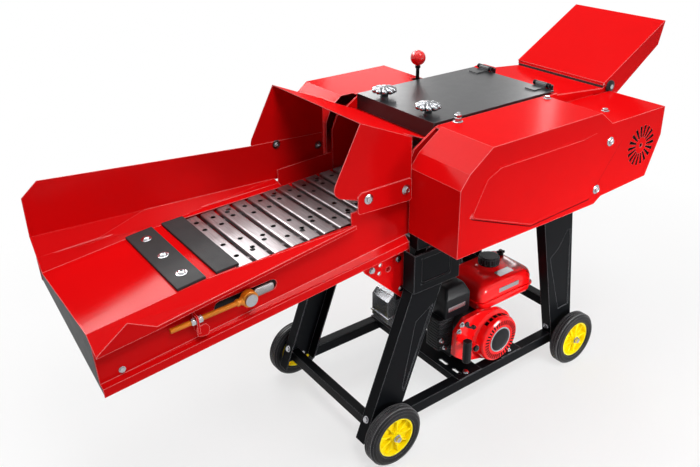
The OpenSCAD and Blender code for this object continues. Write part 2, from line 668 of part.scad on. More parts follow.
module roof() color("#d3101a")
{
    x0 = hinge_x + 4;
    x1 = pivot_x - 34;
    xz(-side_o, side_o) polygon([[x0, side_top - 6], [x1, 1008], [x1, 1008 + sheet], [x0, side_top - 4]]);
    for (s = [-1, 1], k = [-1, 1]) difference() {
        union() {
            cy(hinge_x, hinge_z, s * 128 + k * 27 - 6, s * 128 + k * 27 + 6, 8);
            bx(hinge_x, hinge_x + 18, s * 128 + k * 27 - 6, s * 128 + k * 27 + 6, side_top - 6, hinge_z);
        }
        cy(hinge_x, hinge_z, s * 128 + k * 27 - 7, s * 128 + k * 27 + 7, 4);
    }
    for (s = [-1, 1]) cy(hinge_x, hinge_z, s * 128 - 33, s * 128 + 33, 4);
}
module fixed_knife() color("#9fa2a7")
{
    x0 = lower_x + lower_r + 6;
    difference() {
        xz(-side_y, side_y) polygon([[x0, knife_z - 14], [knife_x - 18, knife_z - 14], [knife_x, knife_z],
            [x0, knife_z]]);
        for (y = [-120, 0, 120]) cv(knife_x - 32, y, knife_z - 6, knife_z + 1, 8);
    }
    for (y = [-120, 0, 120]) cv(knife_x - 32, y, knife_z - 6 - e, knife_z - 1, 6, 6);
}
module unit(x, z, y0, s, r, bore)
{
    difference() {
        union() {
            cy(x, z, s > 0 ? y0 : y0 - 10, s > 0 ? y0 + 10 : y0, r);
            cy(x, z, s > 0 ? y0 : y0 - 22, s > 0 ? y0 + 22 : y0, r * 0.72);
        }
        cy(x, z, y0 - 30, y0 + 30, bore + run_fit);
    }
}
module pedestal(y0, y1, z0) difference()
{
    union() {
        bx(engine_x - 25, engine_x + 25, y0, y1, z0, z0 + 10);
        bx(engine_x - 20, engine_x + 20, y0, y1, z0, crank_z);
        cy(engine_x, crank_z, y0, y1, 30);
    }
    cy(engine_x, crank_z, y0 - 1, y1 + 1, drive_shaft_r + run_fit);
}
guide_t = 10;
module bearings() color("#5d6166")
{
    for (s = [-1, 1]) {
        unit(rotor_x, rotor_z, s * side_o, s, 48, rotor_d / 2);
        unit(head_x, head_z, s * side_o, s, 30, conv_shaft_d / 2);
        unit(lower_x, lower_z, s * side_o, s, 32, roller_shaft_r);
    }
    both() for (k = [-1, 1]) bx(upper_x + k * (block_hw + pass_gap + guide_t / 2) - guide_t / 2,
        upper_x + k * (block_hw + pass_gap + guide_t / 2) + guide_t / 2, side_o, side_o + 20,
        upper_z - block_hw, upper_z + block_hw + float_lift + 4);
    bx(engine_x - 82, engine_x + 34, 140, 168, bed_top, bed_top + 8);
    pedestal(140, 168, bed_top + 8 - e);
    pedestal(stand_y + 1, leg_y1 - leg_sheet, beam_top);
}

// Rotor
module knife() xz(-166, 166) polygon([[58, -5], [rotor_r - 16, -5], [rotor_r - 0.5, 4],
    [rotor_r - 1, 5], [58, 5]]);
module rotor_knives() color("#b8bbc0") translate([rotor_x, 0, rotor_z])
    for (k = [0:knife_n - 1]) rotate([0, 360 * k / knife_n + 20, 0]) knife();
module rotor_discs() color("#54575c") difference()
{
    for (y = [-150, 0, 150]) {
        cy(rotor_x, rotor_z, y - 6, y + 6, 84);
        cy(rotor_x, rotor_z, y - 16, y + 16, 34);
    }
    cy(rotor_x, rotor_z, -200, 200, rotor_d / 2);
    translate([rotor_x, 0, rotor_z]) for (k = [0:knife_n - 1]) rotate([0, 360 * k / knife_n + 20, 0])
        bx(58, 130, -170, 170, -5, 5);
}
module rotor_shaft() color("#8e9094")
    cy(rotor_x, rotor_z, -side_o - 96, pulley_y0 + pulley_w + 6, rotor_d / 2);
module flywheel() color("#5b2022") translate([rotor_x, -side_o - 42, rotor_z]) rotate([90, 0, 0])
    rotate_extrude($fn = 96) polygon([[rotor_d / 2, 0], [34, 0], [34, 14], [70, 18], [70, 0], [88, 0],
    [88, 40], [70, 40], [70, 24], [34, 28], [34, 44], [rotor_d / 2, 44]]);
module pulley(x, z, rp, bore) translate([x, pulley_y0, z]) rotate([-90, 0, 0]) rotate_extrude($fn = 96)
    polygon([[bore, 0], [rp + 5, 0], [rp + 5, 2.5], [rp - 7, 4], [rp - 7, 15], [rp + 5, 16.5],
    [rp + 5, 19.5], [rp - 7, 21], [rp - 7, 32], [rp + 5, 33.5], [rp + 5, 36], [bore, 36]]);
module rotor_pulley() color("#54575c") pulley(rotor_x, rotor_z, rotor_pulley_r, rotor_d / 2);
module drive_shaft() color("#7b7e83")
{
    cy(engine_x, crank_z, -55, pulley_y0 + pulley_w + 5, drive_shaft_r);
    cy(engine_x, crank_z, 62, 92, 34);
    cy(engine_x, crank_z, 92, 96, 28);
    cy(engine_x, crank_z, 96, 128, 34);
    pulley(engine_x, crank_z, drive_pulley_r, drive_shaft_r - e);
}
module belt_loop(d) hull()
{
    translate([rotor_x, rotor_z]) circle(r = rotor_pulley_r + d, $fn = 64);
    translate([engine_x, crank_z]) circle(r = drive_pulley_r + d, $fn = 48);
}
module drive_belts() color("#1a1a1c") for (y = [pulley_y0 + 4.6, pulley_y0 + 21.6])
    xz(y, y + 9.8) difference()
{
    belt_loop(4);
    belt_loop(-6.4);
}

// Feed rollers
gear_c = upper_z - lower_z;
module fluted(x, z, r, n)
{
    l = side_y - 10;
    difference() {
        cy(x, z, -l, l, r - 8);
        for (s = [-1, 1]) cy(x, z, s > 0 ? 10 : -l - 1, s > 0 ? l + 1 : -10, r - 15);
    }
    for (k = [0:n - 1]) translate([x, 0, z]) rotate([0, 360 * k / n, 0])
        bx(r - 9, r, -side_y + 10, side_y - 10, -4, 4);
}
module lower_roller() color("#6c6f74")
{
    fluted(lower_x, lower_z, lower_r - 0.2, 10);
    cy(lower_x, lower_z, -side_o - 52, side_o + 60, roller_shaft_r);
    cy(lower_x, lower_z, -side_o - 48, -side_o - 28, gear_c * lower_r / (lower_r + upper_r) - 0.6);
}
module upper_roller() color("#6c6f74")
{
    fluted(upper_x, upper_z, upper_r - 0.2, 12);
    cy(upper_x, upper_z, -side_o - 52, side_o + 24, roller_shaft_r);
    cy(upper_x, upper_z, -side_o - 48, -side_o - 28, gear_c * upper_r / (lower_r + upper_r) - 0.6);
}
module roller_carrier() color("#5d6166") both() difference()
{
    bx(upper_x - block_hw, upper_x + block_hw, side_o + pass_gap, side_o + 20, upper_z - block_hw,
        upper_z + block_hw);
    cy(upper_x, upper_z, side_o - 1, side_o + 30, roller_shaft_r + run_fit);
}
gearbox_x1 = lever_x + 5;
module feed_gearbox() color("#55585c") difference()
{
    union() {
        bx(gearbox_x1 - 170, gearbox_x1, side_o, side_o + 110, 800, 940);
        bx(lever_x - 22, lever_x + 8, side_o, side_o + 1, 930, 990);
        cy(lever_x, lever_z, side_o, lever_y + 7, 5);
        cy(lever_x, lever_z, lever_y + 6.4, lever_y + 10, 8);
    }
    bx(gearbox_x1 - 164, gearbox_x1 - 6, side_o + 6, side_o + 104, 806, 934);
}

// Covers
function nrm(a, b) = [a[1] - b[1], b[0] - a[0]] / norm(b - a);
function inset(p, d) = [for (i = [0:len(p) - 1]) let (a = p[(i + len(p) - 1) % len(p)], b = p[i],
    c = p[(i + 1) % len(p)], m = nrm(a, b), n = nrm(b, c)) b + d * (m + n) / (1 + m * n)];
guard_p = [[guard_x0, body_z + 4], [266, body_z + 4], [298, 758], [guard_x1 - 57, 768],
    [guard_x1, rotor_z + 14], [guard_x1, guard_z - 44], [upper_x + 41, guard_z - 44],
    [upper_x - 17, guard_z],
    [-205, guard_z], [-287, guard_z - 58], [guard_x0, guard_z - 98]];
left_x1 = lever_x + 13;
left_p = [[guard_x0, body_z + 4], [left_x1, body_z + 4], [left_x1, guard_z], [-258, guard_z],
    [-296, guard_z - 30],
    [guard_x0, guard_z - 80]];
press_p = [[guard_x0 + 44, guard_z - 186], [guard_x0 + 96, guard_z - 88], [guard_x0 + 144, guard_z - 66],
    [190, guard_z - 66], [182, guard_z - 140], [178, body_z + 95], [160, body_z + 55], [-27, body_z + 24]];
press_h = 3;
module right_guard() color("#d3101a")
{
    xz(-guard_y - press_h, -guard_y + e) polygon(press_p);
    xz(-guard_y - press_h / 2, -guard_y + e) polygon(inset(press_p, 3));
    difference() {
        xz(-guard_y, -side_o) polygon(guard_p);
        xz(-guard_y + sheet, -side_o + 1) polygon(inset(guard_p, sheet));
        bx(guard_x0 - 1, -212, -206.5, -side_o + 1, body_z, guard_z + 1);
        bx(500, guard_x1 + 1, -side_o - 6, -side_o + 1, body_z, guard_z + 1);
        translate([rotor_x, 0, rotor_z]) for (k = [0:vent_n - 1]) rotate([0, 360 * k / vent_n, 0])
            xz(-guard_y - 1, -guard_y + 3) polygon([[vent_r * 0.42, -2.2], [vent_r, -4.6], [vent_r, 4.6],
            [vent_r * 0.42, 2.2]]);
        cy(rotor_x, rotor_z, -guard_y - 1, -guard_y + 3, 7);
    }
    for (p = [[-270, 800], [-40, 760], [150, 985]])
        cy(p[0], p[1], -guard_y + sheet - e, -side_o, 7);
}
module left_cover() color("#d3101a")
{
    difference() {
        xz(side_o, guard_y) polygon(left_p);
        xz(side_o - 1, guard_y - sheet) polygon(inset(left_p, sheet));
        bx(guard_x0 - 1, -212, side_o - 1, 206.5, body_z, guard_z + 1);
        bx(lever_x - 28, lever_x + 10, side_o - 1, lever_y + 8, guard_z - 6, guard_z + 1);
    }
    for (p = [[-270, 800], [-200, 980]]) cy(p[0], p[1], side_o, guard_y - sheet + e, 7);
}
guard_b0 = 250;
guard_b1 = 320;
module belt_guard() color("#c20f18")
{
    difference() {
        xz(guard_b0, guard_b1) belt_loop(20);
        xz(guard_b0 - 1, guard_b1 - sheet) belt_loop(20 - sheet);
    }
    for (p = [[rotor_x - 60, rotor_z + 92], [rotor_x + 100, rotor_z - 40]])
        cy(p[0], p[1], side_o, guard_b1 - sheet + e, 6);
    cy(engine_x + 0.6 * (rotor_x - engine_x), crank_z + 0.6 * (rotor_z - crank_z), leg_y1,
        guard_b1 - sheet + e, 6);
}
module top_cover() color("#18191b") difference()
{
    t = 4;
    union() {
        bx(cover_x0, cover_x1, -side_y + 2, side_y - 2, cover_z - t, cover_z);
        bx(cover_x0 - t, cover_x0 + e, -side_y + 2, side_y - 2, 995, cover_z);
        for (s = [-1, 1]) {
            bx(cover_x0, cover_x1 - 60, s > 0 ? side_y - 6 : -side_y + 3, s > 0 ? side_y - 3 : -side_y + 6,
                cover_z - 22, cover_z - t + e);
            cy(hinge_x, hinge_z, s * 128 - 20, s * 128 + 20, 8);
            bx(hinge_x - 60, hinge_x - 2, s * 128 - 20, s * 128 + 20, cover_z - e, cover_z + 4);
            bx(hinge_x - 9, hinge_x, s * 128 - 20, s * 128 + 20, cover_z - 1, hinge_z);
        }
    }
    for (s = [-1, 1]) {
        cy(hinge_x, hinge_z, s * 128 - 21, s * 128 + 21, 4 + run_fit);
        cv(knob_x, s * knob_y, cover_z - 10, cover_z + 1, 6 + run_fit);
    }
}
module hand_knob(y)
{
    difference() {
        union() {
            cv(knob_x, y, cover_z + 14, cover_z + 30, knob_r);
            cv(knob_x, y, cover_z + 30, cover_z + 35, knob_r * 0.6);
        }
        for (k = [0:7]) translate([knob_x, y, 0]) rotate([0, 0, 45 * k + 22.5])
            cv(knob_r + 7, 0, cover_z + 10, cover_z + 32, 13, 32);
    }
    cv(knob_x, y, cover_z + 0.3, cover_z + 15, 13);
    cv(knob_x, y, 1002, cover_z + 10, 6);
}
module hand_knob_right() color("#cfd2d6") hand_knob(-knob_y);
module hand_knob_left() color("#cfd2d6") hand_knob(knob_y);
module chute() color("#d3101a") translate([pivot_x, 0, pivot_z]) rotate([0, -chute_tilt, 0])
{
    y0 = side_o + 1.5;
    y1 = y0 + sheet;
    bx(-20, chute_len - 16, -y1, y1, 29, 29 + sheet);
    both() difference() {
        xz(y0, y1) polygon([[-20, 29 + e], [chute_len - 16, 29 + e], [chute_len - 76, -30], [25, -50],
            [-13, -13]]);
        cy(0, 0, y0 - 1, y1 + 1, 6);
    }
}
module shift_lever() color("#17181b") difference()
{
    union() {
        cy(lever_x, lever_z, lever_y - 5, lever_y + 5, 9.5);
        cv(lever_x, lever_y, lever_z + 6.5, ball_z - 7, 6);
        cv(lever_x, lever_y, ball_z - 35, ball_z - 27, 9);
    }
    cy(lever_x, lever_z, lever_y - 6, lever_y + 6, 5 + run_fit);
}
module lever_ball() color("#d3101a") difference()
{
    translate([lever_x, lever_y, ball_z]) rotate_extrude($fn = 64) difference() {
        circle(r = ball_r, $fn = 64);
        translate([-100, -50]) square([100, 100]);
    }
    cv(lever_x, lever_y, ball_z - 39, ball_z - 7, 6);
}

// Engine
module engine_block() color("#4a4d51") difference()
{
    union() {
        bx(foot_x0 - 20, foot_x0 + foot_dx + 20, engine_y - 58, engine_y + 58, bed_top, bed_top + 10);
        rbox(engine_x - 72, engine_x + 48, -164, 36, bed_top + 9, crank_z + 70, 18);
        cy(engine_x, crank_z, 30, 50, 42);
        cy(engine_x, crank_z, 30, 56, 24);
        translate([engine_x, -45, crank_z]) rotate([0, 25, 0]) {
            bx(-172, -50, -40, 40, -42, 42);
            for (k = [0:7]) bx(-160 + 11 * k, -157 + 11 * k, -48, 48, -54, 54);
            bx(-190, -172 + e, -46, 46, -50, 50);
            ch(-214, -189, 10, 20, 8);
        }
        ch(-106, -60, 8, 312, 17);
        for (x = [60, 240]) bx(x - 14, x + 14, -60, -20, crank_z + 60, 303);
        bx(60, 254, -50, -30, crank_z + 64, crank_z + 76);
    }
    cy(engine_x, crank_z, -60, 60, drive_shaft_r + run_fit);
    for (x = [foot_x0, foot_x0 + foot_dx], s = [-1, 1])
        cv(x, engine_y + s * foot_dy / 2, bed_top - 1, bed_top + 11, 4.5);
}
recoil_y = -250;
slot_n = 36;
module recoil_cover() color("#d3101a") difference()
{
    union() {
        translate([engine_x, 0, crank_z]) rotate([90, 0, 0]) rotate_extrude($fn = 96)
            polygon([[0, 164], [80, 164], [80, 186], [recoil_r + 10, 188], [recoil_r + 10, 208],
            [recoil_r + 2, 214], [recoil_r, 216], [recoil_r, 238], [recoil_r - 4, 246],
            [recoil_r - 11, -recoil_y], [54, -recoil_y], [52, -recoil_y - 3], [0, -recoil_y - 3]]);
        xz(-206, -187) polygon([[engine_x + 10, crank_z + recoil_r + 9], [engine_x - 60, crank_z + 112],
            [engine_x - 130, crank_z + 108], [engine_x - 168, crank_z + 70], [engine_x - 172, crank_z - 20],
            [engine_x - 120, crank_z - 62], [engine_x - 40, crank_z - recoil_r],
            [engine_x + 10, crank_z - 60]]);
        cy(-48, 240, -250, -200, 14);
    }
    translate([engine_x, 0, crank_z]) rotate([90, 0, 0]) translate([0, 0, 163])
        cylinder(h = 80, r = 72, $fn = 96);
    translate([engine_x, 0, crank_z]) for (k = [0:slot_n - 1]) rotate([0, 360 * k / slot_n, 0])
        bx(57, recoil_r - 13, recoil_y - 1, recoil_y + 12, -1.6, 1.6);
}
module pull_handle() color("#1a1b1d")
{
    rbox(-101, -73, -262, -236, 203, 283, 11);
    ch(-74, -62.4, -240, 240, 8);
}
tank_x = 30;
tank_y = -185;
tank_z = 303;
cap_x = 176;
cap_y = -76;
module fuel_tank() color("#d3101a") difference()
{
    tank_body();
    tank_shell(tank_t);
    cv(cap_x, cap_y, tank_z + tank_h - 8, tank_z + 120, 22);
}
tank_h = 98;
tank_t = 3;
module tank_shell(t) intersection()
{
    rbox(tank_x + t, tank_x + tank_l - t, tank_y + t, tank_y + tank_w - t, tank_z + t,
        tank_z + tank_h - t, 26 - t);
    xz(tank_y - 1, tank_y + tank_w + 1) polygon(crown(tank_x + t, tank_x + tank_l - t, tank_z + t,
        tank_z + tank_h - t, 14 - t, 28 - t));
    yz(tank_x - 1, tank_x + tank_l + 1) polygon(crown(tank_y + t, tank_y + tank_w - t, tank_z + t,
        tank_z + tank_h - t, 14 - t, 28 - t));
}
module tank_body()
{
    tank_shell(0);
    difference() {
        rbox(tank_x - 6, tank_x + tank_l + 6, tank_y - 6, tank_y + tank_w + 6, tank_z + 34,
            tank_z + 40, 30);
        rbox(tank_x + 4, tank_x + tank_l - 4, tank_y + 4, tank_y + tank_w - 4, tank_z + 33,
            tank_z + 41, 22);
    }
    cv(cap_x, cap_y, tank_z + tank_h - 1, tank_z + 104, 46);
    cv(cap_x, cap_y, tank_z + 103, tank_z + 112, 27);
}
module fuel_cap() color("#17181b") difference()
{
    union() {
        cv(cap_x, cap_y, tank_z + 104.5, tank_z + 130, 38, 64);
        cv(cap_x, cap_y, tank_z + 130, tank_z + 134, 30, 64);
    }
    cv(cap_x, cap_y, tank_z + 100, tank_z + 113, 27 + run_fit);
    for (k = [0:11]) translate([cap_x, cap_y, 0]) rotate([0, 0, 30 * k])
        cv(41, 0, tank_z + 110, tank_z + 136, 5.5, 24);
}
module air_cleaner() color("#17181b")
{
    intersection() {
        rbox(-112, 2, -166, -98, 330, 434, 12);
        xz(-167, -97) polygon([[-112, 330], [2, 330], [2, 402], [-14, 434], [-96, 434], [-112, 402]]);
        yz(-113, 3) polygon([[-166, 330], [-98, 330], [-98, 402], [-114, 434], [-150, 434], [-166, 402]]);
    }
    rbox(-106, -4, -160, -104, 325, 331, 10);
    rbox(-133, -69, -161, -103, 212, 331, 9);
    for (k = [0:10]) rbox(-136, -66, -164, -100, 214 + 10.4 * k, 220 + 10.4 * k, 10);
    bx(-120, -80, -101, -93, 250, 300);
}
muffler_p = [[-222, 268], [-202, 248], [-172, 248], [-152, 268], [-152, 352], [-172, 372],
    [-202, 372], [-222, 352]];
module muffler() color("#c3c5c8")
{
    difference() {
        xz(0, 86) polygon(muffler_p);
        xz(2, 84) polygon(inset(muffler_p, 2));
        cy(-187, 330, 80, 90, 9);
    }
    difference() {
        xz(-4, 90) polygon([[-226, 284], [-148, 284], [-148, 290], [-226, 290]]);
        xz(1, 85) polygon(inset(muffler_p, 1));
    }
    ch(-153, -106, 8, 312, 13);
}

// Fasteners
module hex_bolts() color("#c4c6ca")
{
    for (p = [[309, 938], [268, 789]]) hex_y(p[0], p[1], -guard_y);
    both() {
        hex_y(-477, 897, -hood_y - 3);
        hex_y(-345, 889, -hood_y - 3);
        hex_y(-440, 646, -web_y + 4, 8, 6);
        hex_y(-341, 651, -web_y + 4, 8, 6);
        hex_y(-329, 546, -web_y + 4, 8, 6);
        translate([leg_f(150), -stand_y - 20, 150]) rotate([0, leg_rake, 0]) hex_x(0, 0, 0, 9, 7);
        translate([rear_f(150), -stand_y - 20, 150])
            rotate([0, -atan2(127, deck_z - foot_z), 0]) hex_x(0, 0, 0, 9, 7);
        hex_z(engine_x - 132, -stand_y - 18, bed_top);
        hex_z(engine_x + 74, -stand_y - 18, bed_top);
        cy(pivot_x, pivot_z, -side_o - 4, -side_y + 3, 5.95);
        cy(pivot_x, pivot_z, -side_o - 6, -side_o - 3.8, 15);
        cy(pivot_x, pivot_z, -side_o - 13, -side_o - 6, 9, 6);
    }
    hex_y(cvx(tray_u0 + 56.4, -126.5), cvz(tray_u0 + 56.4, -126.5), -web_y, 7, 5);
    hex_z(-139, -204, guard_z, 8, 12);
    hex_z(236, -214, guard_z, 7, 5);
    hex_z(391, -322, guard_z - 44, 7, 5);
    for (x = [foot_x0, foot_x0 + foot_dx], s = [-1, 1]) {
        cv(x, engine_y + s * foot_dy / 2, beam_top - 6, bed_top + 12, 4.4);
        cv(x, engine_y + s * foot_dy / 2, bed_top + 10, bed_top + 17, 8, 6);
    }
}

base_frame();
engine_beds();
front_legs();
rear_legs();
leg_caps();
deck_frame();
wheel_axles();
hex_bolts();
tyre_fr();
tyre_fl();
tyre_rr();
tyre_rl();
rim_fr();
rim_fl();
rim_rr();
rim_rl();
tray();
tray_end_plate();
tray_brackets();
rubber_strips();
dome_bolts();
hood();
takeup_screws();
top_run();
bottom_run();
head_shaft();
tail_shaft();
side_plate_right();
side_plate_left();
rotor_housing();
roof();
fixed_knife();
bearings();
right_guard();
left_cover();
belt_guard();
top_cover();
hand_knob_right();
hand_knob_left();
chute();
shift_lever();
lever_ball();
rotor_shaft();
rotor_discs();
rotor_knives();
flywheel();
rotor_pulley();
lower_roller();
upper_roller();
roller_carrier();
feed_gearbox();
drive_shaft();
drive_belts();
engine_block();
recoil_cover();
fuel_tank();
fuel_cap();
air_cleaner();
muffler();
pull_handle();
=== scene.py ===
import json
import math

import bmesh
import bpy
from mathutils import Matrix, Vector


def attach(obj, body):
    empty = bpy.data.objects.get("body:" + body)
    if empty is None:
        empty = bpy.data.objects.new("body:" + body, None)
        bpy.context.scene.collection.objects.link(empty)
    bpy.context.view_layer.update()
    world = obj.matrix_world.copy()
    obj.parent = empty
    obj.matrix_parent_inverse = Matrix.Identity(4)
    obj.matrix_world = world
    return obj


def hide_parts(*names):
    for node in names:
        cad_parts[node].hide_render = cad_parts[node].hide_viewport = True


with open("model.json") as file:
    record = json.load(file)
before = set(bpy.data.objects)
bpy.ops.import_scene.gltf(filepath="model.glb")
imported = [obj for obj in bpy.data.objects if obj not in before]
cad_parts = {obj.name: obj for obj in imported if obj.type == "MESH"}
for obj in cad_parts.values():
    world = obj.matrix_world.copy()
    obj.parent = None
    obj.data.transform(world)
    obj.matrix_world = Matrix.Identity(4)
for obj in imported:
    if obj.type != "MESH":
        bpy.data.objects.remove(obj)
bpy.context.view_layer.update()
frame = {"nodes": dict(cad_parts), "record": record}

scene = bpy.context.scene
NODES = frame["nodes"]
SLOT = {s["node"]: s["material_slot"] for s in frame["record"]["subparts"]}
BODY = {n: b for b, ns in frame["record"]["behaviour"]["bodies"].items() for n in ns}
MM = 0.001
FULL_TURN = 2 * math.pi
NEAR, FAR, UP = (0, -1, 0), (0, 1, 0), (0, 0, 1)
SIDES = (-1, 1)


# Node helpers
def new_mat(name):
    """A material with one principled shader: the material, its tree and the shader."""
    m = bpy.data.materials.new(name)
    m.use_nodes = True
    nt = m.node_tree
    nt.nodes.clear()
    out = nt.nodes.new("ShaderNodeOutputMaterial")
    b = nt.nodes.new("ShaderNodeBsdfPrincipled")
    nt.links.new(b.outputs[0], out.inputs[0])
    return m, nt, b


def noise(nt, scale, detail, rough=0.55, stretch=None):
    n = nt.nodes.new("ShaderNodeTexNoise")
    n.inputs["Scale"].default_value = scale
    n.inputs["Detail"].default_value = detail
    n.inputs["Roughness"].default_value = rough
    place = nt.nodes.new("ShaderNodeTexCoord").outputs["Object"]
    if stretch:
        mp = nt.nodes.new("ShaderNodeMapping")
        mp.inputs["Scale"].default_value = stretch
        nt.links.new(place, mp.inputs["Vector"])
        place = mp.outputs[0]
    nt.links.new(place, n.inputs["Vector"])
    return n.outputs["Fac"]


def ramp(nt, fac, stops):
    """A colour ramp of two stops, each a position and a colour."""
    r = nt.nodes.new("ShaderNodeValToRGB")
    for e, (p, c) in zip(r.color_ramp.elements, stops):
        e.position = p
        e.color = (*c, 1.0)
    nt.links.new(fac, r.inputs[0])
    return r.outputs[0]


def shade(c, k):
    return tuple(min(1.0, x * k) for x in c)


def mottled(nt, fac, color, vary):
    """The colour, made a little darker and lighter by fac."""
    return ramp(nt, fac, [(0.25, shade(color, 1 - vary)), (0.75, shade(color, 1 + vary))])


def span(nt, fac, lo, hi, a=0.3, b=0.7):
    """Maps fac from a..b to lo..hi."""
    r = nt.nodes.new("ShaderNodeMapRange")
    for k, value in enumerate((a, b, lo, hi)):
        r.inputs[k + 1].default_value = value
    nt.links.new(fac, r.inputs[0])
    return r.outputs[0]


def bump(nt, b, fac, strength, dist):
    n = nt.nodes.new("ShaderNodeBump")
    n.inputs["Strength"].default_value = strength
    n.inputs["Distance"].default_value = dist
    nt.links.new(fac, n.inputs["Height"])
    nt.links.new(n.outputs[0], b.inputs["Normal"])


# Materials
EDGE_HIGHLIGHT_FULL = 0.90
PEEL_DEPTH = 0.0006
STREAK_DEPTH = 0.0004


def edge_highlight_mask(nt, radius, flat):
    """Mask of the painted edge highlight: 1 on folds and sheet edges, 0 on faces whose rounded normal agrees
    with their own by flat or more.
    """
    bev = nt.nodes.new("ShaderNodeBevel")
    bev.samples = 4
    bev.inputs["Radius"].default_value = radius
    geo = nt.nodes.new("ShaderNodeNewGeometry")
    dot = nt.nodes.new("ShaderNodeVectorMath")
    dot.operation = "DOT_PRODUCT"
    nt.links.new(bev.outputs[0], dot.inputs[0])
    nt.links.new(geo.outputs["Normal"], dot.inputs[1])
    return span(nt, dot.outputs["Value"], 1.0, 0.0, EDGE_HIGHLIGHT_FULL, flat)


def coated(name, color, rough, peel, vary, peel_scale=420, mottle=7.0, metal=0.0, spec=0.5, coat=0.0,
           coat_rough=0.1, edge_highlight=None, edge_highlight_radius=0.0022, flat=0.994):
    """Paint, plastic, rubber or casting, with a paler colour painted along its edges as a highlight if
    edge_highlight is given.
    """
    m, nt, b = new_mat(name)
    tone = mottled(nt, noise(nt, mottle, 4.0), color, vary)
    if edge_highlight:
        # Painted highlight: the pale edge colour is mixed in on folds and sheet edges, standing in for the
        # light that the edges catch.
        mix = nt.nodes.new("ShaderNodeMix")
        mix.data_type = "RGBA"
        nt.links.new(edge_highlight_mask(nt, edge_highlight_radius, flat), mix.inputs["Factor"])
        nt.links.new(tone, mix.inputs[6])
        mix.inputs[7].default_value = (*edge_highlight, 1.0)
        tone = mix.outputs[2]
    nt.links.new(tone, b.inputs["Base Color"])
    nt.links.new(span(nt, noise(nt, mottle * 5, 3.0), rough * 0.94, rough * 1.07), b.inputs["Roughness"])
    b.inputs["Metallic"].default_value = metal
    b.inputs["Specular IOR Level"].default_value = spec
    b.inputs["Coat Weight"].default_value = coat
    b.inputs["Coat Roughness"].default_value = coat_rough
    bump(nt, b, noise(nt, peel_scale, 2.0), peel, PEEL_DEPTH)
    return m


def brushed(name, color, rough, stretch, scale, vary=0.16, depth=0.08):
    """Bare metal with streaks along the axis that stretch leaves long."""
    m, nt, b = new_mat(name)
    streak = noise(nt, scale, 4.0, 0.6, stretch)
    nt.links.new(mottled(nt, streak, color, vary), b.inputs["Base Color"])
    nt.links.new(span(nt, noise(nt, 18, 3.0), rough * 0.88, rough * 1.12), b.inputs["Roughness"])
    b.inputs["Metallic"].default_value = 1.0
    bump(nt, b, streak, depth, STREAK_DEPTH)
    return m


RED_COAT = dict(color=(0.70, 0.0035, 0.0045), rough=0.4, peel=0.012, vary=0.025, spec=0.0, coat=0.10,
                coat_rough=0.15)
# Painted highlight: pale pink along the red paint's folds and edges, standing in for the light they catch;
# red_plain is the same paint without it.
RED_EDGE_HIGHLIGHT = dict(edge_highlight=(0.95, 0.34, 0.34), edge_highlight_radius=0.0024)
COATED = {
    "red_paint": dict(**RED_COAT, **RED_EDGE_HIGHLIGHT),
    # red_folded keeps the painted edge highlight to the tray's sharper folds and off its shallow creases.
    "red_folded": dict(**RED_COAT, **RED_EDGE_HIGHLIGHT, flat=0.965),
    "red_plain": RED_COAT,
    # red_gloss is a lighter red than the paint, partly painted light that lifts the shaded tank and starter
    # cover.
    "red_gloss": dict(color=(0.86, 0.005, 0.006), rough=0.12, peel=0.008, vary=0.03, spec=0.32),
    "red_plastic": dict(color=(0.72, 0.005, 0.006), rough=0.12, peel=0.01, vary=0.04, spec=0.45),
    # The pale edge_highlight colours of the black paint, plastic, gloss and tyre rubber are painted highlights
    # along their edges and ribs.
    "black_paint": dict(color=(0.0046, 0.0052, 0.0064), rough=0.34, peel=0.08, vary=0.15, peel_scale=700,
                        spec=0.04, edge_highlight=(0.22, 0.227, 0.24)),
    "black_plastic": dict(color=(0.006, 0.0066, 0.008), rough=0.34, peel=0.12, vary=0.15, peel_scale=1200,
                          spec=0.14, edge_highlight=(0.10, 0.104, 0.11)),
    "black_gloss": dict(color=(0.012, 0.0125, 0.014), rough=0.30, peel=0.05, vary=0.12, peel_scale=700,
                        spec=0.42, edge_highlight=(0.12, 0.124, 0.13)),
    # shade_fill is painted shade: near-black fills set in openings and gaps that show only shadow.
    "shade_fill": dict(color=(0.0025, 0.0025, 0.003), rough=0.8, peel=0.2, vary=0.3, spec=0.03),
    "tyre_rubber": dict(color=(0.010, 0.010, 0.0115), rough=0.42, peel=0.2, vary=0.3, peel_scale=900,
                        spec=0.16, edge_highlight=(0.16, 0.16, 0.165), edge_highlight_radius=0.003),
    "strip_rubber": dict(color=(0.045, 0.045, 0.046), rough=0.55, peel=0.3, vary=0.12, peel_scale=800,
                         spec=0.06),
    "yellow_rim": dict(color=(1.0, 0.80, 0.004), rough=0.34, peel=0.05, vary=0.04, spec=0.25),
    "orange_screw": dict(color=(0.70, 0.22, 0.008), rough=0.32, peel=0.15, vary=0.22, mottle=30, metal=0.3),
    "cast": dict(color=(0.055, 0.057, 0.062), rough=0.55, peel=0.5, vary=0.25, peel_scale=350, mottle=20,
                 spec=0.3),
    "engine_alloy": dict(color=(0.045, 0.047, 0.051), rough=0.45, peel=0.4, vary=0.25, metal=0.4),
}
BRUSHED = {
    "zinc": dict(color=(0.46, 0.46, 0.48), rough=0.24, stretch=(1, 1, 1), scale=90),
    "galvanized": dict(color=(0.30, 0.28, 0.286), rough=0.46, stretch=(14, 0.6, 14), scale=26, vary=0.28),
    "steel": dict(color=(0.40, 0.405, 0.42), rough=0.34, stretch=(10, 0.6, 10), scale=40),
    "chrome_knob": dict(color=(0.22, 0.224, 0.235), rough=0.10, stretch=(1, 1, 1), scale=30, vary=0.05,
                        depth=0.01),
    "silver_sheet": dict(color=(0.38, 0.385, 0.40), rough=0.24, stretch=(1, 6, 1), scale=50),
}
MAT = {name: coated(name, **look) for name, look in COATED.items()}
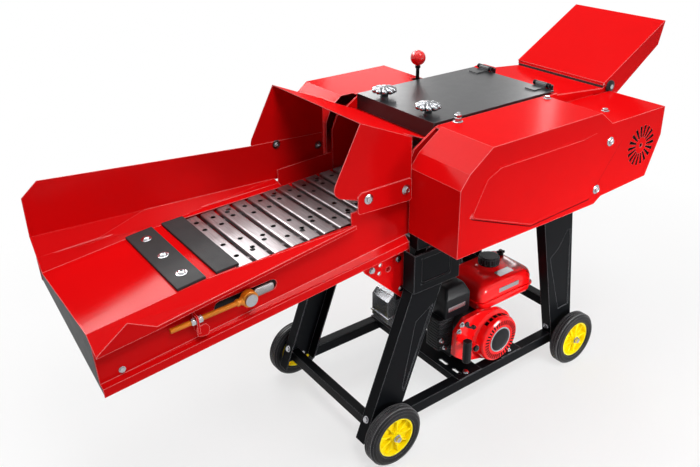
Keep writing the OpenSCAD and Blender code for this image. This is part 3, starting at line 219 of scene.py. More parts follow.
MAT.update({name: brushed(name, **look) for name, look in BRUSHED.items()})


# Pieces
def plain_object(name, bm):
    me = bpy.data.meshes.new(name)
    bm.to_mesh(me)
    bm.free()
    o = bpy.data.objects.new(name, me)
    scene.collection.objects.link(o)
    return o


def finish_piece(name, bm, slot, body, smooth, look=None):
    """A piece that rides on a body, in its slot's material or in the look named instead."""
    o = plain_object(name, bm)
    o.data.materials.append(MAT[look or slot])
    for p in o.data.polygons:
        p.use_smooth = True
    o.data.set_sharp_from_angle(angle=math.radians(smooth))
    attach(o, body)
    return o


def done(name, bm, slot, body="frame", smooth=35.0, look=None):
    bmesh.ops.recalc_face_normals(bm, faces=bm.faces)
    return finish_piece(name, bm, slot, body, smooth, look)


# Solids shown with rounded edges, with the width of the rounding in metres
SKINS = {
    "base_frame": 0.0025, "engine_beds": 0.001, "front_legs": 0.0035, "rear_legs": 0.0035, "leg_caps": 0.006,
    "deck_frame": 0.002, "tray": 0.0008, "tray_end_plate": 0.001, "tray_brackets": 0.0012,
    "rubber_strips": 0.0012, "hood": 0.0008, "side_plate_right": 0.001, "side_plate_left": 0.001,
    "roof": 0.0008, "right_guard": 0.0009, "left_cover": 0.0009, "belt_guard": 0.0009, "top_cover": 0.0015,
    "chute": 0.0008, "shift_lever": 0.001, "engine_block": 0.002, "recoil_cover": 0.0012, "fuel_cap": 0.0018,
    "muffler": 0.003, "pull_handle": 0.005, "hex_bolts": 0.0007, "rotor_housing": 0.0008, "flywheel": 0.0012,
    "rim_fr": 0.001, "rim_fl": 0.001, "rim_rr": 0.001, "rim_rl": 0.001,
}
FORMS = ("fuel_tank", "air_cleaner", "top_run", "takeup_screws", "dome_bolts", "hand_knob_right",
         "hand_knob_left")
FINISH = {"recoil_cover": "red_gloss", "top_cover": "black_gloss", "leg_caps": "black_paint",
          "tray": "red_folded"}
CREASE = {"tray": 15.0, "hood": 12.0, "right_guard": 14.0, "left_cover": 14.0}
CREASE_ELSE = 32.0
TWISTED = ("tray", "hood")
FLAT_ANGLE, TWISTED_ANGLE = 0.6, 0.02
WELD = 2e-6
ROUND_ANGLE = 28.0
ROOF_BLACK_Z = 1.0385


def dressed(node, width):
    """A copy of a solid with its edges rounded, shown in the solid's place."""
    bm = bmesh.new()
    bm.from_mesh(NODES[node].data)
    bmesh.ops.remove_doubles(bm, verts=bm.verts, dist=WELD)
    flat = TWISTED_ANGLE if node in TWISTED else FLAT_ANGLE
    bmesh.ops.dissolve_limit(bm, angle_limit=math.radians(flat), verts=bm.verts, edges=bm.edges)
    o = finish_piece(node + "_skin", bm, SLOT[node], BODY[node], CREASE.get(node, CREASE_ELSE),
                     FINISH.get(node))
    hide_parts(node)
    b = o.modifiers.new("round", "BEVEL")
    b.width = width
    b.segments = 2
    b.limit_method = "ANGLE"
    b.angle_limit = math.radians(ROUND_ANGLE)
    b.use_clamp_overlap = True
    w = o.modifiers.new("shade", "WEIGHTED_NORMAL")
    w.keep_sharp = True
    w.weight = 80
    return o


def dress_solids():
    """Skins for the solids with edges to round, the roof's top in black, and materials for the other solids."""
    skins = {n: dressed(n, w) for n, w in SKINS.items()}
    roof = skins["roof"].data
    roof.materials.append(MAT["black_paint"])
    for p in roof.polygons:
        p.material_index = 1 if p.center.z > ROOF_BLACK_Z else 0
    for n, o in NODES.items():
        if n not in SKINS and n not in FORMS:
            o.data.materials.clear()
            o.data.materials.append(MAT[SLOT[n]])


# Outline and solid helpers, sizes in millimetres
def mm(x, y, z):
    return Vector((x * MM, y * MM, z * MM))


def fillet(pts, r, n=5):
    """A polygon with its corners rounded, n + 1 points at each corner."""
    out = []
    for i, p in enumerate(pts):
        p, a, b = Vector(p), Vector(pts[i - 1]), Vector(pts[(i + 1) % len(pts)])
        da, db = a - p, b - p
        half = da.angle(db) / 2
        d = min(r / max(math.tan(half), 0.05), 0.45 * da.length, 0.45 * db.length)
        s, e = p + da.normalized() * d, p + db.normalized() * d
        for k in range(n + 1):
            t = k / n
            out.append(tuple((1 - t) ** 2 * s + 2 * t * (1 - t) * p + t * t * e))
    return out


def rrect(hx, hy, r, n):
    """A rounded rectangle about the origin, counter-clockwise, given by its half sizes."""
    return fillet([(hx, hy), (-hx, hy), (-hx, -hy), (hx, -hy)], r, n)


def spun(outline, t):
    """An outline turned about the origin."""
    c, s = math.cos(t), math.sin(t)
    return [(a * c - b * s, a * s + b * c) for a, b in outline]


def quads(bm, rows):
    """Faces between neighbouring rows of vertices, where each row is a closed ring."""
    n = len(rows[0])
    for a, b in zip(rows, rows[1:]):
        for k in range(n):
            bm.faces.new((a[k], a[(k + 1) % n], b[(k + 1) % n], b[k]))


def loft(bm, rings, floor=True):
    """A skin through rings with the same number of points, closed at the first ring if it has a floor."""
    rows = [[bm.verts.new(p) for p in ring] for ring in rings]
    quads(bm, rows)
    if floor:
        bm.faces.new(list(reversed(rows[0])))
    bm.faces.new(rows[-1])


def hoop(bm, rings):
    """A skin through rings that closes on itself, from the last ring to the first."""
    rows = [[bm.verts.new(p) for p in ring] for ring in rings]
    quads(bm, rows + rows[:1])


def box_rings(cx, cy, hx, hy, r, n, layers):
    """Rounded rectangles about a vertical axis: layers is a list of inset and height."""
    return [[mm(cx + a, cy + b, z) for a, b in rrect(hx - i, hy - i, r, n)] for i, z in layers]


def lathe(bm, at, axis, prof, n, turn=0.0):
    """A turned solid with n sides: prof is a list of radius and height along axis."""
    w = Vector(axis).normalized()
    u = Vector((0, 0, 1)) if abs(w.z) < 0.9 else Vector((1, 0, 0))
    u = (u - w * u.dot(w)).normalized()
    v = w.cross(u)
    at = mm(*at)
    rings = []
    for r, h in prof:
        rings.append([at + w * (h * MM) + (u * math.cos(t) + v * math.sin(t)) * (max(r, 0.05) * MM)
                      for t in (FULL_TURN * (k + turn) / n for k in range(n))])
    loft(bm, rings)


def turned(name, at, axis, prof, n, slot):
    """One turned solid as a piece on the frame."""
    bm = bmesh.new()
    lathe(bm, at, axis, prof, n)
    done(name, bm, slot)


def bolt(bm, at, axis, r, washer, h):
    """A hexagon head with a crowned top on a washer: washer is its radius over the head's."""
    lathe(bm, at, axis, [(r * washer - 0.6, -0.5), (r * washer, 0.2), (r * washer, 1.4),
                         (r * washer - 0.6, 1.9)], 32)
    lathe(bm, at, axis, [(r, 1.0), (r, 1.9 + h * 0.8), (r * 0.86, 1.9 + h)], 6)


def bead(bm, outline, put, half, height):
    """A rounded bead along a closed outline: put(a, b, d) places a point d above the sheet."""
    profile = ((-half, -0.4), (-half, 0.2), (-half * 0.55, height * 0.8), (0, height),
               (half * 0.55, height * 0.8), (half, 0.2), (half, -0.4))
    n = len(outline)
    rings = []
    for k in range(n):
        a, p, b = (Vector(outline[(k + j) % n]) for j in (-1, 0, 1))
        t = (b - a).normalized()
        out = Vector((t.y, -t.x))
        rings.append([put(*(p + out * w), d) for w, d in profile])
    hoop(bm, rings)


# Right guard: pressed panel, lapped seam, and painted shade: a dark disc and dark fills in the vent slots, and
# dark strips that paint the shadow under the panel's lower edge and at the seam
GUARD_Y = -409.0
VENT_X, VENT_Z = 478, 886
VENT_SLOTS = 18
SEAM_WIDTH = 26


def guard_details():
    base = fillet([(-281, 852), (-227, 957), (-176, 979), (252, 981), (296, 905), (264, 800), (240, 764),
                   (-28, 753)], 16)
    top = fillet([(-274, 854), (-222, 952), (-174, 974), (190, 974), (182, 900), (178, 830), (160, 790),
                  (-27, 759)], 16)
    bm = bmesh.new()
    loft(bm, [[mm(a, GUARD_Y - d, b) for a, b in ring] for ring, d in ((base, -0.3), (top, 4.0))], False)
    done("guard_panel", bm, "red_paint", smooth=8.0)

    head, foot = Vector((371, 930)), Vector((268, 806))
    run = foot - head
    side = Vector((run.y, -run.x)).normalized()
    bm = bmesh.new()
    rings = []
    for p in (head, foot):
        q = p + side * SEAM_WIDTH
        rings.append([mm(p.x, GUARD_Y + 0.5, p.y), mm(q.x, GUARD_Y + 0.5, q.y), mm(q.x, GUARD_Y - 0.02, q.y),
                      mm(p.x + side.x, GUARD_Y - 1.5, p.y + side.y), mm(p.x, GUARD_Y - 1.3, p.y)])
    loft(bm, rings)
    done("guard_seam", bm, "red_paint", smooth=20.0, look="red_plain")

    # Painted shade: a dark disc behind the vent and dark fills in its slots, where the guard's inside shows
    # only shadow.
    bm = bmesh.new()
    lathe(bm, (VENT_X, -406.9, VENT_Z), FAR, [(73, 0), (74, 0.6), (74, 2.0), (73, 2.6)], 64)
    wedge = [(27.4, -2.6), (66.4, -5.4), (66.4, 5.4), (27.4, 2.6)]
    for k in range(VENT_SLOTS):
        ring = spun(wedge, FULL_TURN * k / VENT_SLOTS)
        loft(bm, [[mm(VENT_X + a, y, VENT_Z + b) for a, b in ring] for y in (-406.5, -409.3)])
    # Painted shadow: dark strips at the seam's foot and under the panel's lower edge.
    lower_edge = [Vector(p) for p in base[38:] + base[:3]]
    inner, outer = -408.6, -409.25
    for path, off in (((head, foot), side * -2.2), (lower_edge, Vector((-0.8, -2.6)))):
        rings = []
        for p in path:
            q, w = p + off * 0.1, p + off
            rings.append([mm(v.x, y, v.y) for v, y in ((q, inner), (w, inner), (w, outer), (q, outer))])
        loft(bm, rings)
    done("vent_and_gap_shade", bm, "black_paint", look="shade_fill")


# Stand: pressed beads round the panels of the legs and their caps
LEG_FACE, CAP_FACE = 243.0, 254.0


def stand_beads():
    front = fillet([(-360, 226), (-352, 206), (-244, 490), (-315, 447)], 9)
    rear = fillet([(373, 222), (431, 224), (393, 547), (377, 547), (340, 487), (298, 457)], 9)
    cap = [(-248 + a, 625 + b) for a, b in rrect(59, 44, 15, 6)]
    bm = bmesh.new()
    for s in SIDES:
        for outline, y, half, height in ((front, LEG_FACE, 3.4, 1.9), (rear, LEG_FACE, 3.4, 1.9),
                                         (cap, CAP_FACE, 4.4, 2.4)):
            bead(bm, outline, lambda a, b, d: mm(a, s * (y + d), b), half, height)
    done("stand_beads", bm, "black_paint", BODY["front_legs"], 50.0)


# Fuel tank: two pressed halves with a seam flange and a filler neck, two bare plates and a vent
TANK_X, TANK_Y = 161.0, -90.0
TANK_HALF_X, TANK_HALF_Y = 131.0, 95.0
TANK_LAYERS = (
    (34, 303), (20, 303.6), (10, 306), (4, 311), (1, 319), (0, 330), (0, 337), (-5, 337), (-6, 338), (-6, 342),
    (-5, 343), (0, 343), (0, 352), (1, 370), (3, 380), (7, 389), (13, 395.5), (21, 399.5), (32, 401.6),
    (46, 402.4), (64, 402.6),
)
TANK_NECK = ((60, 400), (58, 402.6), (52, 403.6), (45, 407), (41, 408.6), (27, 408.8), (27, 414.9), (26, 415))


def tank():
    rings = []
    for inset, z in TANK_LAYERS:
        corner = max(30 - inset * 0.35, 12)
        rings += box_rings(TANK_X, TANK_Y, TANK_HALF_X, TANK_HALF_Y, corner, 8, [(inset, z)])
    bm = bmesh.new()
    loft(bm, rings)
    lathe(bm, (176, -76, 0), UP, TANK_NECK, 56)
    o = done("fuel_tank_form", bm, SLOT["fuel_tank"], smooth=42.0, look="red_gloss")
    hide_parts("fuel_tank")

    bm = bmesh.new()
    loft(bm, [[mm(168 + a, -184 - d, 366 + b) for a, b in rrect(48, 8, 1.5, 3)] for d in (0.0, 1.6)])
    loft(bm, box_rings(180, -146, 34, 15, 2, 3, [(0, 401.6), (0, 403.1)]))
    done("tank_plate", bm, "steel")

    bm = bmesh.new()
    lathe(bm, (262, -52, 398), UP, [(11, 0), (11, 9), (8, 11), (8, 20), (6, 22)], 24)
    lathe(bm, (262, -52, 412), (1, -0.5, 0), [(5, -14), (5, 14), (4, 15)], 20)
    done("tank_vent", bm, "black_plastic")


# Air cleaner: chamfered box over a ribbed lower body, with a deeper rear half and a bare plate
CLEANER_X, CLEANER_Y = -55, -132
RIBBED_X = -101
RIBS, RIB_PITCH = 11, 10.4
RIB_LAYERS = ((0, 0), (0, 6.0), (3.2, 7.2), (3.2, 9.2))


def cleaner():
    bm = bmesh.new()
    loft(bm, box_rings(CLEANER_X, CLEANER_Y, 57, 34, 11, 6, (
        (6.4, 325), (1.6, 326.5), (0, 330), (0, 398), (1.2, 401), (14.4, 429), (17.6, 432.5), (22.4, 434))))
    ribs = [(inset, 214 + k * RIB_PITCH + h) for k in range(RIBS) for inset, h in RIB_LAYERS]
    loft(bm, box_rings(RIBBED_X, CLEANER_Y, 29, 26, 9, 6, [(0, 212)])
         + box_rings(RIBBED_X, CLEANER_Y, 35, 32, 10, 6, ribs))
    lathe(bm, (-100, -97, 275), FAR, [(24, -6), (24, 3.9), (22, 4)], 32)
    o = done("air_cleaner_form", bm, SLOT["air_cleaner"], smooth=38.0)
    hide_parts("air_cleaner")

    bm = bmesh.new()
    loft(bm, box_rings(CLEANER_X, -104, 56.4, 60, 11, 6, (
        (4.8, 352), (0, 355), (0, 398), (1.2, 400.6), (14.4, 428.6), (17.6, 432), (22.4, 433.5))))
    done("cleaner_duct", bm, SLOT["air_cleaner"], smooth=38.0)

    bm = bmesh.new()
    loft(bm, [[mm(-62 + a, -165.5 - d, 362 + b) for a, b in rrect(38, 8, 1.5, 3)] for d in (0.0, 1.3)])
    done("cleaner_plate", bm, "zinc")


# Carburettor side: screws on the shroud's wing and on the air cleaner, and the choke lever
CHOKE_PATH = ((-52, 312), (-46, 300), (-34, 292), (-22, 290))
CHOKE_BACK, CHOKE_FACE = -207, -212


def linkage():
    bm = bmesh.new()
    for x, z in ((-74, 318), (-86, 296)):
        bolt(bm, (x, -206, z), NEAR, 6.5, 1.5, 6)
    for x, z in ((-124, 252), (-110, 219)):
        bolt(bm, (x, -163.6, z), NEAR, 6.0, 1.45, 8)
    done("shroud_screws", bm, "zinc")

    bm = bmesh.new()
    lathe(bm, (-52, -205, 312), NEAR, [(9, 0), (9, 5), (7.5, 6.5)], 28)
    last = len(CHOKE_PATH) - 1
    rings = []
    for k, (x, z) in enumerate(CHOKE_PATH):
        a = Vector(CHOKE_PATH[min(k + 1, last)]) - Vector(CHOKE_PATH[max(k - 1, 0)])
        n = Vector((-a.y, a.x)).normalized() * (5.0 - 0.5 * k)
        rings.append([mm(x + n.x * w, y, z + n.y * w) for w, y in (
            (1, CHOKE_BACK), (0.8, CHOKE_FACE), (-0.8, CHOKE_FACE), (-1, CHOKE_BACK))])
    loft(bm, rings)
    lathe(bm, (-22, -206, 290), NEAR, [(7, 0), (7.5, 1), (7.5, 9), (6, 10.5)], 24)
    done("choke_lever", bm, "black_plastic")


# Starter: bright ring, black disc, rope guide, and painted shade in the vents on the face and round the rim:
# dark fills where the slots show only shadow
STARTER_X, STARTER_Z = 72, 222
FACE_SLOTS, FACE_SLOT_R = 36, 64.5
RIM_SLOTS, RIM_R = 8, 84.0


def starter():
    hub = (STARTER_X, -246.5, STARTER_Z)
    turned("starter_ring", hub, NEAR, [(47, 0), (47, 3), (46, 4), (43, 4), (42, 3.2), (42, 0.2)], 64, "zinc")
    turned("starter_disc", hub, NEAR, [(42, 0), (42, 2.6), (40, 3.4), (20, 4.2), (1, 4.4)], 64,
           "black_plastic")
    turned("rope_guide", (-48, -250, 240), NEAR, [(11.5, -0.6), (11.5, 4.5), (9.5, 7.5), (5.5, 8.6),
                                                  (5.0, 7.4), (1, 7)], 36, "black_plastic")
    # Painted shade: dark fills set in each vent slot.
    bm = bmesh.new()
    slot = [(FACE_SLOT_R + a, b) for a, b in rrect(8.6, 3.0, 1.2, 2)]
    for k in range(FACE_SLOTS):
        ring = spun(slot, FULL_TURN * k / FACE_SLOTS)
        loft(bm, [[mm(STARTER_X + a, -249.2 - h, STARTER_Z + b) for a, b in ring] for h in (0.0, 1.3)])
    for k in range(RIM_SLOTS):
        t = math.radians(26 + k * 14)
        ring = [(t + a / RIM_R, b) for a, b in rrect(7.0, 6.5, 1.5, 2)]
        loft(bm, [[mm(STARTER_X + r * math.cos(u), -226 + b, STARTER_Z + r * math.sin(u)) for u, b in ring]
                  for r in (83.2, 84.5)])
    done("starter_vent_shade", bm, "black_plastic", look="shade_fill")


# Chute: a broad washer under each pivot bolt, the sealing strip along its root and the lip over it
PIVOT_X, PIVOT_Z = 585, 1011


def root_strip(name, start, step, outer, inner, half, slot):
    """A strip bent round the pivot's axis, from an angle on by eight steps, between two radii."""
    arc = [math.radians(start + k * step) for k in range(9)]
    ring = [(outer * math.cos(t), outer * math.sin(t)) for t in arc]
    ring += [(inner * math.cos(t), inner * math.sin(t)) for t in reversed(arc)]
    bm = bmesh.new()
    loft(bm, [[mm(PIVOT_X + a, y, PIVOT_Z + b) for a, b in ring] for y in (-half, half)])
    done(name, bm, slot, "spout", 40.0)


def chute_details():
    bm = bmesh.new()
    for s in SIDES:
        lathe(bm, (PIVOT_X, s * 193.4, PIVOT_Z), (0, s, 0), [(21, 0), (22, 0.6), (22, 3.4), (20.5, 4.2)], 40)
    done("pivot_washers", bm, "black_plastic", "spout")
    root_strip("chute_seal", 148.5, 6.0, 33.2, 30.8, 188.5, "strip_rubber")
    root_strip("chute_lip", 149.0, 2.4, 33.85, 33.3, 190.5, "red_paint")


# Fasteners: a stud with two nuts by the top cover, nuts inside the hood, flange bolts and top bolts
STUD_X, STUD_Y = -139, -204
HOOD_INSIDE_Y, HOOD_OUTSIDE_Y = 217.4, 222.2
SCREW_END = (
    ([(14, -0.3), (14.6, 0.3), (14.6, 1.8), (14, 2.4)], 32),
    ([(9, 1.5), (9, 7.4), (8, 8.6)], 6),
    ([(4.6, 7), (4.6, 12), (3.8, 13)], 20),
)
FLANGE_BOLT = (
    ([(14.2, -0.2), (14.8, 0.4), (14.8, 1.9), (14.0, 2.4)], 36),
    ([(11.4, 2.0), (11.4, 3.0), (10.2, 3.8)], 36),
    ([(9.6, 2.5), (9.6, 7.6), (8.4, 8.8), (5.6, 9.1), (5.2, 8.5), (0.4, 8.4)], 6),
)
TOP_BOLT = (
    ([(12.2, -0.2), (12.8, 0.4), (12.8, 1.9), (12.0, 2.4)], 36),
    ([(8.2, 2.0), (8.2, 7.4), (7.0, 8.6)], 6),
)


def put_bolt(bm, at, axis, kind):
    for prof, n in kind:
        lathe(bm, at, axis, prof, n)


def fasteners():
    bm = bmesh.new()
    for z, prof, n, turn in (
            (1040, [(14.4, -0.2), (15.2, 0.4), (15.2, 2.0), (14.4, 2.6)], 36, 0.0),
            (1042, [(10.2, 0), (11.2, 1.2), (11.2, 10.5), (10.0, 11.6)], 6, 0.0),
            (1054, [(9.0, 0), (9.8, 1.0), (9.8, 8), (8.8, 9)], 6, 0.35),
            (1042, [(5.6, 0), (5.6, 25), (4.6, 26.5)], 24, 0.0)):
        lathe(bm, (STUD_X, STUD_Y, z), UP, prof, n, turn)
    for x, z in ((-500, 926), (-345, 889)):
        put_bolt(bm, (x, HOOD_INSIDE_Y, z), NEAR, SCREW_END)
    done("cover_fasteners", bm, "zinc", "frame")

    bm = bmesh.new()
    for x, z in ((309, 938), (268, 789)):
        put_bolt(bm, (x, GUARD_Y, z), NEAR, FLANGE_BOLT)
    for s in SIDES:
        for x, z in ((-477, 897), (-345, 889)):
            put_bolt(bm, (x, s * HOOD_OUTSIDE_Y, z), (0, s, 0), FLANGE_BOLT)
    for at in ((236, -214, 1040), (391, -322, 996)):
        put_bolt(bm, at, UP, TOP_BOLT)
    done("flange_bolts", bm, "zinc", "frame")


# Conveyor frame: u along the slats, w above them
INCLINE = math.radians(3.0)
SHAFT_W = -70.0
TAIL_U = -360.0


def on_tray(u, y, w):
    c, s = math.cos(INCLINE), math.sin(INCLINE)
    return mm(-493 + u * c - w * s, y, 808 + u * s + w * c)


def at_tray(u, y, w):
    return tuple(on_tray(u, y, w) / MM)


TRAY_U = (on_tray(1, 0, 0) - on_tray(0, 0, 0)).normalized()
TRAY_W = (on_tray(0, 0, 1) - on_tray(0, 0, 0)).normalized()


# Slats: pressed channels with three patterns of holes, two side bars, and painted shade: a dark sheet under
# each slat that darkens its holes and the gaps
SLATS = 19
RUN = 995.0
PITCH = RUN / SLATS
SLAT_HALF, SLAT_LENGTH, SLAT_HEIGHT, SLAT_SHEET = 21.0, 166.0, 13.0, 2.0
SLAT_HOLES = (
    ((0, 126), (0, 73), (0, -36), (0, -110)),
    ((0, 126), (0, 73), (0, -36), (3, -98), (-4, -111)),
    ((5, 140), (-5, 127), (-2, 98), (4, -60), (-5, -84)),
)


def cut(o, cutter):
    """Subtracts one object from another and keeps the result as plain mesh."""
    m = o.modifiers.new("cut", "BOOLEAN")
    m.operation = "DIFFERENCE"
    m.solver = "EXACT"
    m.object = cutter
    dg = bpy.context.evaluated_depsgraph_get()
    me = bpy.data.meshes.new_from_object(o.evaluated_get(dg))
    o.modifiers.clear()
    o.data = me
    bpy.data.objects.remove(cutter)


def arch(x, top, r):
    """A channel's outline from one foot over two rounded corners to the other foot."""
    pts = [(-x, -SLAT_HEIGHT), (-x, top), (x, top), (x, -SLAT_HEIGHT)]
    return pts[:1] + fillet(pts, r, 6)[7:-7] + pts[3:]


def slat_mesh(holes):
    """One pressed slat with rounded long edges and its holes, about the origin."""
    ring = arch(SLAT_HALF, 0, 7.5) + arch(SLAT_SHEET - SLAT_HALF, -SLAT_SHEET, 5.5)
    bm = bmesh.new()
    loft(bm, [[mm(a, y, b) for a, b in ring] for y in (-SLAT_LENGTH, SLAT_LENGTH)])
    bmesh.ops.recalc_face_normals(bm, faces=bm.faces)
    o = plain_object("slat", bm)
    bm = bmesh.new()
    for x, y in holes:
        lathe(bm, (x, y, -6), UP, [(7.4, 0), (7.4, 8)], 24)
    bmesh.ops.recalc_face_normals(bm, faces=bm.faces)
    cut(o, plain_object("slat_holes", bm))
    return o


def slat_run():
    kinds = [slat_mesh(h) for h in SLAT_HOLES]
    middles = [TAIL_U + PITCH * (i + 0.5) for i in range(SLATS)]
    turn = Matrix((TRAY_U, Vector((0, 1, 0)), TRAY_W)).transposed().to_4x4()
    bm = bmesh.new()
    for i, u in enumerate(middles):
        me = kinds[i % len(kinds)].data.copy()
        me.transform(Matrix.Translation(on_tray(u, 0, 0)) @ turn)
        bm.from_mesh(me)
        bpy.data.meshes.remove(me)
    for o in kinds:
        bpy.data.objects.remove(o)
    ends = (middles[0] - SLAT_HALF, middles[-1] + SLAT_HALF)
    for s in SIDES:
        loft(bm, [[on_tray(u, s * 118 + a, -20 + b) for a, b in rrect(6, 7, 1.5, 2)] for u in ends])
    # Painted shade: dark sheets under the slats stand for the shadow seen through the holes and gaps.
    back = bmesh.new()
    for u in middles:
        loft(back, [[on_tray(u + a, b, w) for a, b in rrect(18 - k, 158 - k, 4, 3)]
                    for k, w in ((1, -11.5), (0, -11), (0, -9.5), (1, -9))])
    done("slat_shade_backs", back, "strip_rubber", BODY["top_run"])
    p = done("top_run_slats", bm, SLOT["top_run"], BODY["top_run"], 40.0)
    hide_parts("top_run")


# Take-up: threaded rod with two nuts, the eye round the shaft's end, slot seal, slide bar and tab
ROD_Y = 208.0
EYE_SIDES = 48


def thread(bm, u0, u1, y, r, pitch, depth, n=20):
    steps = int((u1 - u0) / pitch * 8)
    rings = []
    for i in range(steps + 1):
        u = u0 + (u1 - u0) * i / steps
        ring = []
        for k in range(n):
            t = k / n
            f = ((u - u0) / pitch - t) % 1.0
            rr = r - depth * (1 - abs(2 * f - 1))
            a = FULL_TURN * t
            ring.append(on_tray(u, y + rr * math.cos(a), SHAFT_W + rr * math.sin(a)))
        rings.append(ring)
    loft(bm, rings)


def takeup():
    rod, nuts, seal, bar, tab = (bmesh.new() for k in range(5))
    circle = [FULL_TURN * k / EYE_SIDES for k in range(EYE_SIDES)]
    plate = fillet([(-104, -20), (104, -20), (104, 20), (-104, 20)], 19, 8)
    hole = [(15 * math.cos(t), 15 * math.sin(t)) for t in (math.atan2(b, a) for a, b in plate)]
    tongue = fillet([(-513, -112), (-484, -118), (-479, -96), (-487, -82), (-513, -84)], 9)
    for s in SIDES:
        y = s * ROD_Y
        thread(rod, -576, -394, y, 7.2, 3.6, 1.2)
        lathe(rod, at_tray(-398, y, SHAFT_W), TRAY_U, [(7.5, 0), (10, 3), (10, 8), (8.5, 10), (8.5, 12),
                                                       (11, 15), (11.5, 20)], 28)
        hoop(rod, [[on_tray(TAIL_U + r * math.cos(t), y + d, SHAFT_W + r * math.sin(t)) for t in circle]
                   for r, d in ((13.3, -9.6), (21, -9.6), (22, -8.6), (22, 8.6), (21, 9.6), (13.3, 9.6))])
        for u in (-522, -504):
            lathe(nuts, at_tray(u, y, SHAFT_W), TRAY_U, [(8.8, 0), (10, 1.2), (10, 10.8), (8.8, 12)], 6)
            lathe(nuts, at_tray(u - 0.4, y, SHAFT_W), TRAY_U, [(8.6, 0), (8.8, 0.4), (8.8, 12.4),
                                                               (8.6, 12.8)], 28)
        hoop(seal, [[on_tray(TAIL_U + a, s * d, SHAFT_W + b) for a, b in ring]
                    for ring, d in ((hole, 186.0), (plate, 186.0), (plate, 189.6), (hole, 189.6))])
        loft(bar, [[on_tray(TAIL_U + 50 + a, s * d, SHAFT_W + b) for a, b in rrect(29 - i, 12 - i, 9, 5)]
                   for i, d in ((1, 194.1), (0, 194.8), (0, 199.2), (1, 200.0))])
        loft(tab, [[on_tray(a, s * d, b) for a, b in tongue] for d in (215.0, 217.6)])
    done("takeup_tabs", tab, "red_paint", BODY["takeup_screws"])
    done("slot_seals", seal, "black_plastic", BODY["takeup_screws"])
    done("slide_bars", bar, "galvanized", BODY["takeup_screws"])
    o = done("takeup_rods", rod, SLOT["takeup_screws"], BODY["takeup_screws"], 40.0)
    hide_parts("takeup_screws")
    done("takeup_nuts", nuts, "zinc", BODY["takeup_screws"], 30.0)


# Button bolts on the front strip, square to the slope of the tray's apron
APRON_RISE, APRON_RUN = 19.5, 312.0
BUTTON = ((14.4, -0.3), (15, 0.3), (15, 1.6), (14.2, 2.1), (11.6, 2.1), (11.2, 3.4), (10.2, 5.2), (8.2, 6.8),
          (5.2, 7.8), (4.6, 7.9), (4.4, 5.0), (0.5, 4.8))


def buttons():
    slope = INCLINE + math.atan2(APRON_RISE, APRON_RUN)
    along = Vector((math.cos(slope), 0, math.sin(slope)))
    out = Vector((-math.sin(slope), 0, math.cos(slope)))
    p = on_tray(-447, 0, 6.5) + along * (-41 * MM) + out * (8 * MM)
    bm = bmesh.new()
    for y in (-112, 0, 112):
        lathe(bm, (p.x / MM, y, p.z / MM), out, BUTTON, 40)
    o = done("strip_buttons", bm, SLOT["dome_bolts"], BODY["dome_bolts"], 40.0)
    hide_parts("dome_bolts")


# Hand knobs: ten lobes with ridges that run up to the hub, by radius, height, lobe and ridge
KNOB_X, KNOB_Y = -165, 103
KNOB_POINTS = 120
KNOB_RINGS = (
    (6, 1002, 0, 0), (6, 1045, 0, 0), (13, 1045.5, 0, 0), (13, 1054, 0, 0), (16, 1057.5, 0, 0),
    (28, 1058.5, 0.06, 0), (36, 1060, 0.12, 0), (40, 1063, 0.15, 0), (41, 1067, 0.15, 0),
    (39.5, 1070.5, 0.14, 0.8), (35, 1073.2, 0.11, 2.0), (27, 1075.4, 0.05, 3.0), (20, 1077.0, 0.02, 2.6),
    (14, 1078.2, 0, 1.2), (11, 1079.6, 0, 0), (9, 1080.6, 0, 0), (2, 1081, 0, 0),
)


def knob(node, y):
    bm = bmesh.new()
    rings = []
    for r, z, wave, rib in KNOB_RINGS:
        ring = []
        for k in range(KNOB_POINTS):
            t = FULL_TURN * k / KNOB_POINTS
            c = abs(math.sin(5 * t))
            rr = r * (1 - wave * 1.5 * (1 - c) ** 1.3)
            ring.append(mm(KNOB_X + rr * math.cos(t), y + rr * math.sin(t), z + rib * (c - 0.6)))
        rings.append(ring)
    loft(bm, rings)
    o = done(node + "_form", bm, SLOT[node], BODY[node], 50.0)
    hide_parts(node)


# Camera at the photograph's place, with angles in degrees and the lens and the optical centre in pixels
PHOTO = (700, 467)
CAMERA_AT = (-1.6125, -1.6942, 1.7686)
AZIMUTH, ELEVATION, ROLL = -36.1175, 23.5123, -0.4632
FOCAL_PIXELS = 760.65
CENTRE_ROW = 177.7
SENSOR = 36.0


def camera():
    a, e, r = (math.radians(v) for v in (AZIMUTH, ELEVATION, ROLL))
    back = Vector((math.sin(a) * math.cos(e), -math.cos(a) * math.cos(e), math.sin(e)))
    right = Vector((math.cos(a), math.sin(a), 0.0))
    up = back.cross(right)
    c, s = math.cos(r), math.sin(r)
    x, y = c * right + s * up, -s * right + c * up
    cam = bpy.data.cameras.new("camera")
    o = bpy.data.objects.new("camera", cam)
    scene.collection.objects.link(o)
    m = Matrix((x, y, back)).transposed().to_4x4()
    m.translation = Vector(CAMERA_AT)
    o.matrix_world = m
    cam.sensor_fit = "HORIZONTAL"
    cam.sensor_width = SENSOR
    cam.lens = FOCAL_PIXELS / PHOTO[0] * SENSOR
    cam.shift_y = -(PHOTO[1] / 2 - CENTRE_ROW) / PHOTO[0]
    cam.clip_start, cam.clip_end = 0.05, 60.0
    scene.camera = o


# World and floor: white to the camera and in reflections, plain light on the object
WORLD_LIGHT = 0.15
FLOOR_SIZE = 30.0
FLOOR_LIFT, LIFT_FROM, LIFT_TO = 0.66, 0.7, 2.2


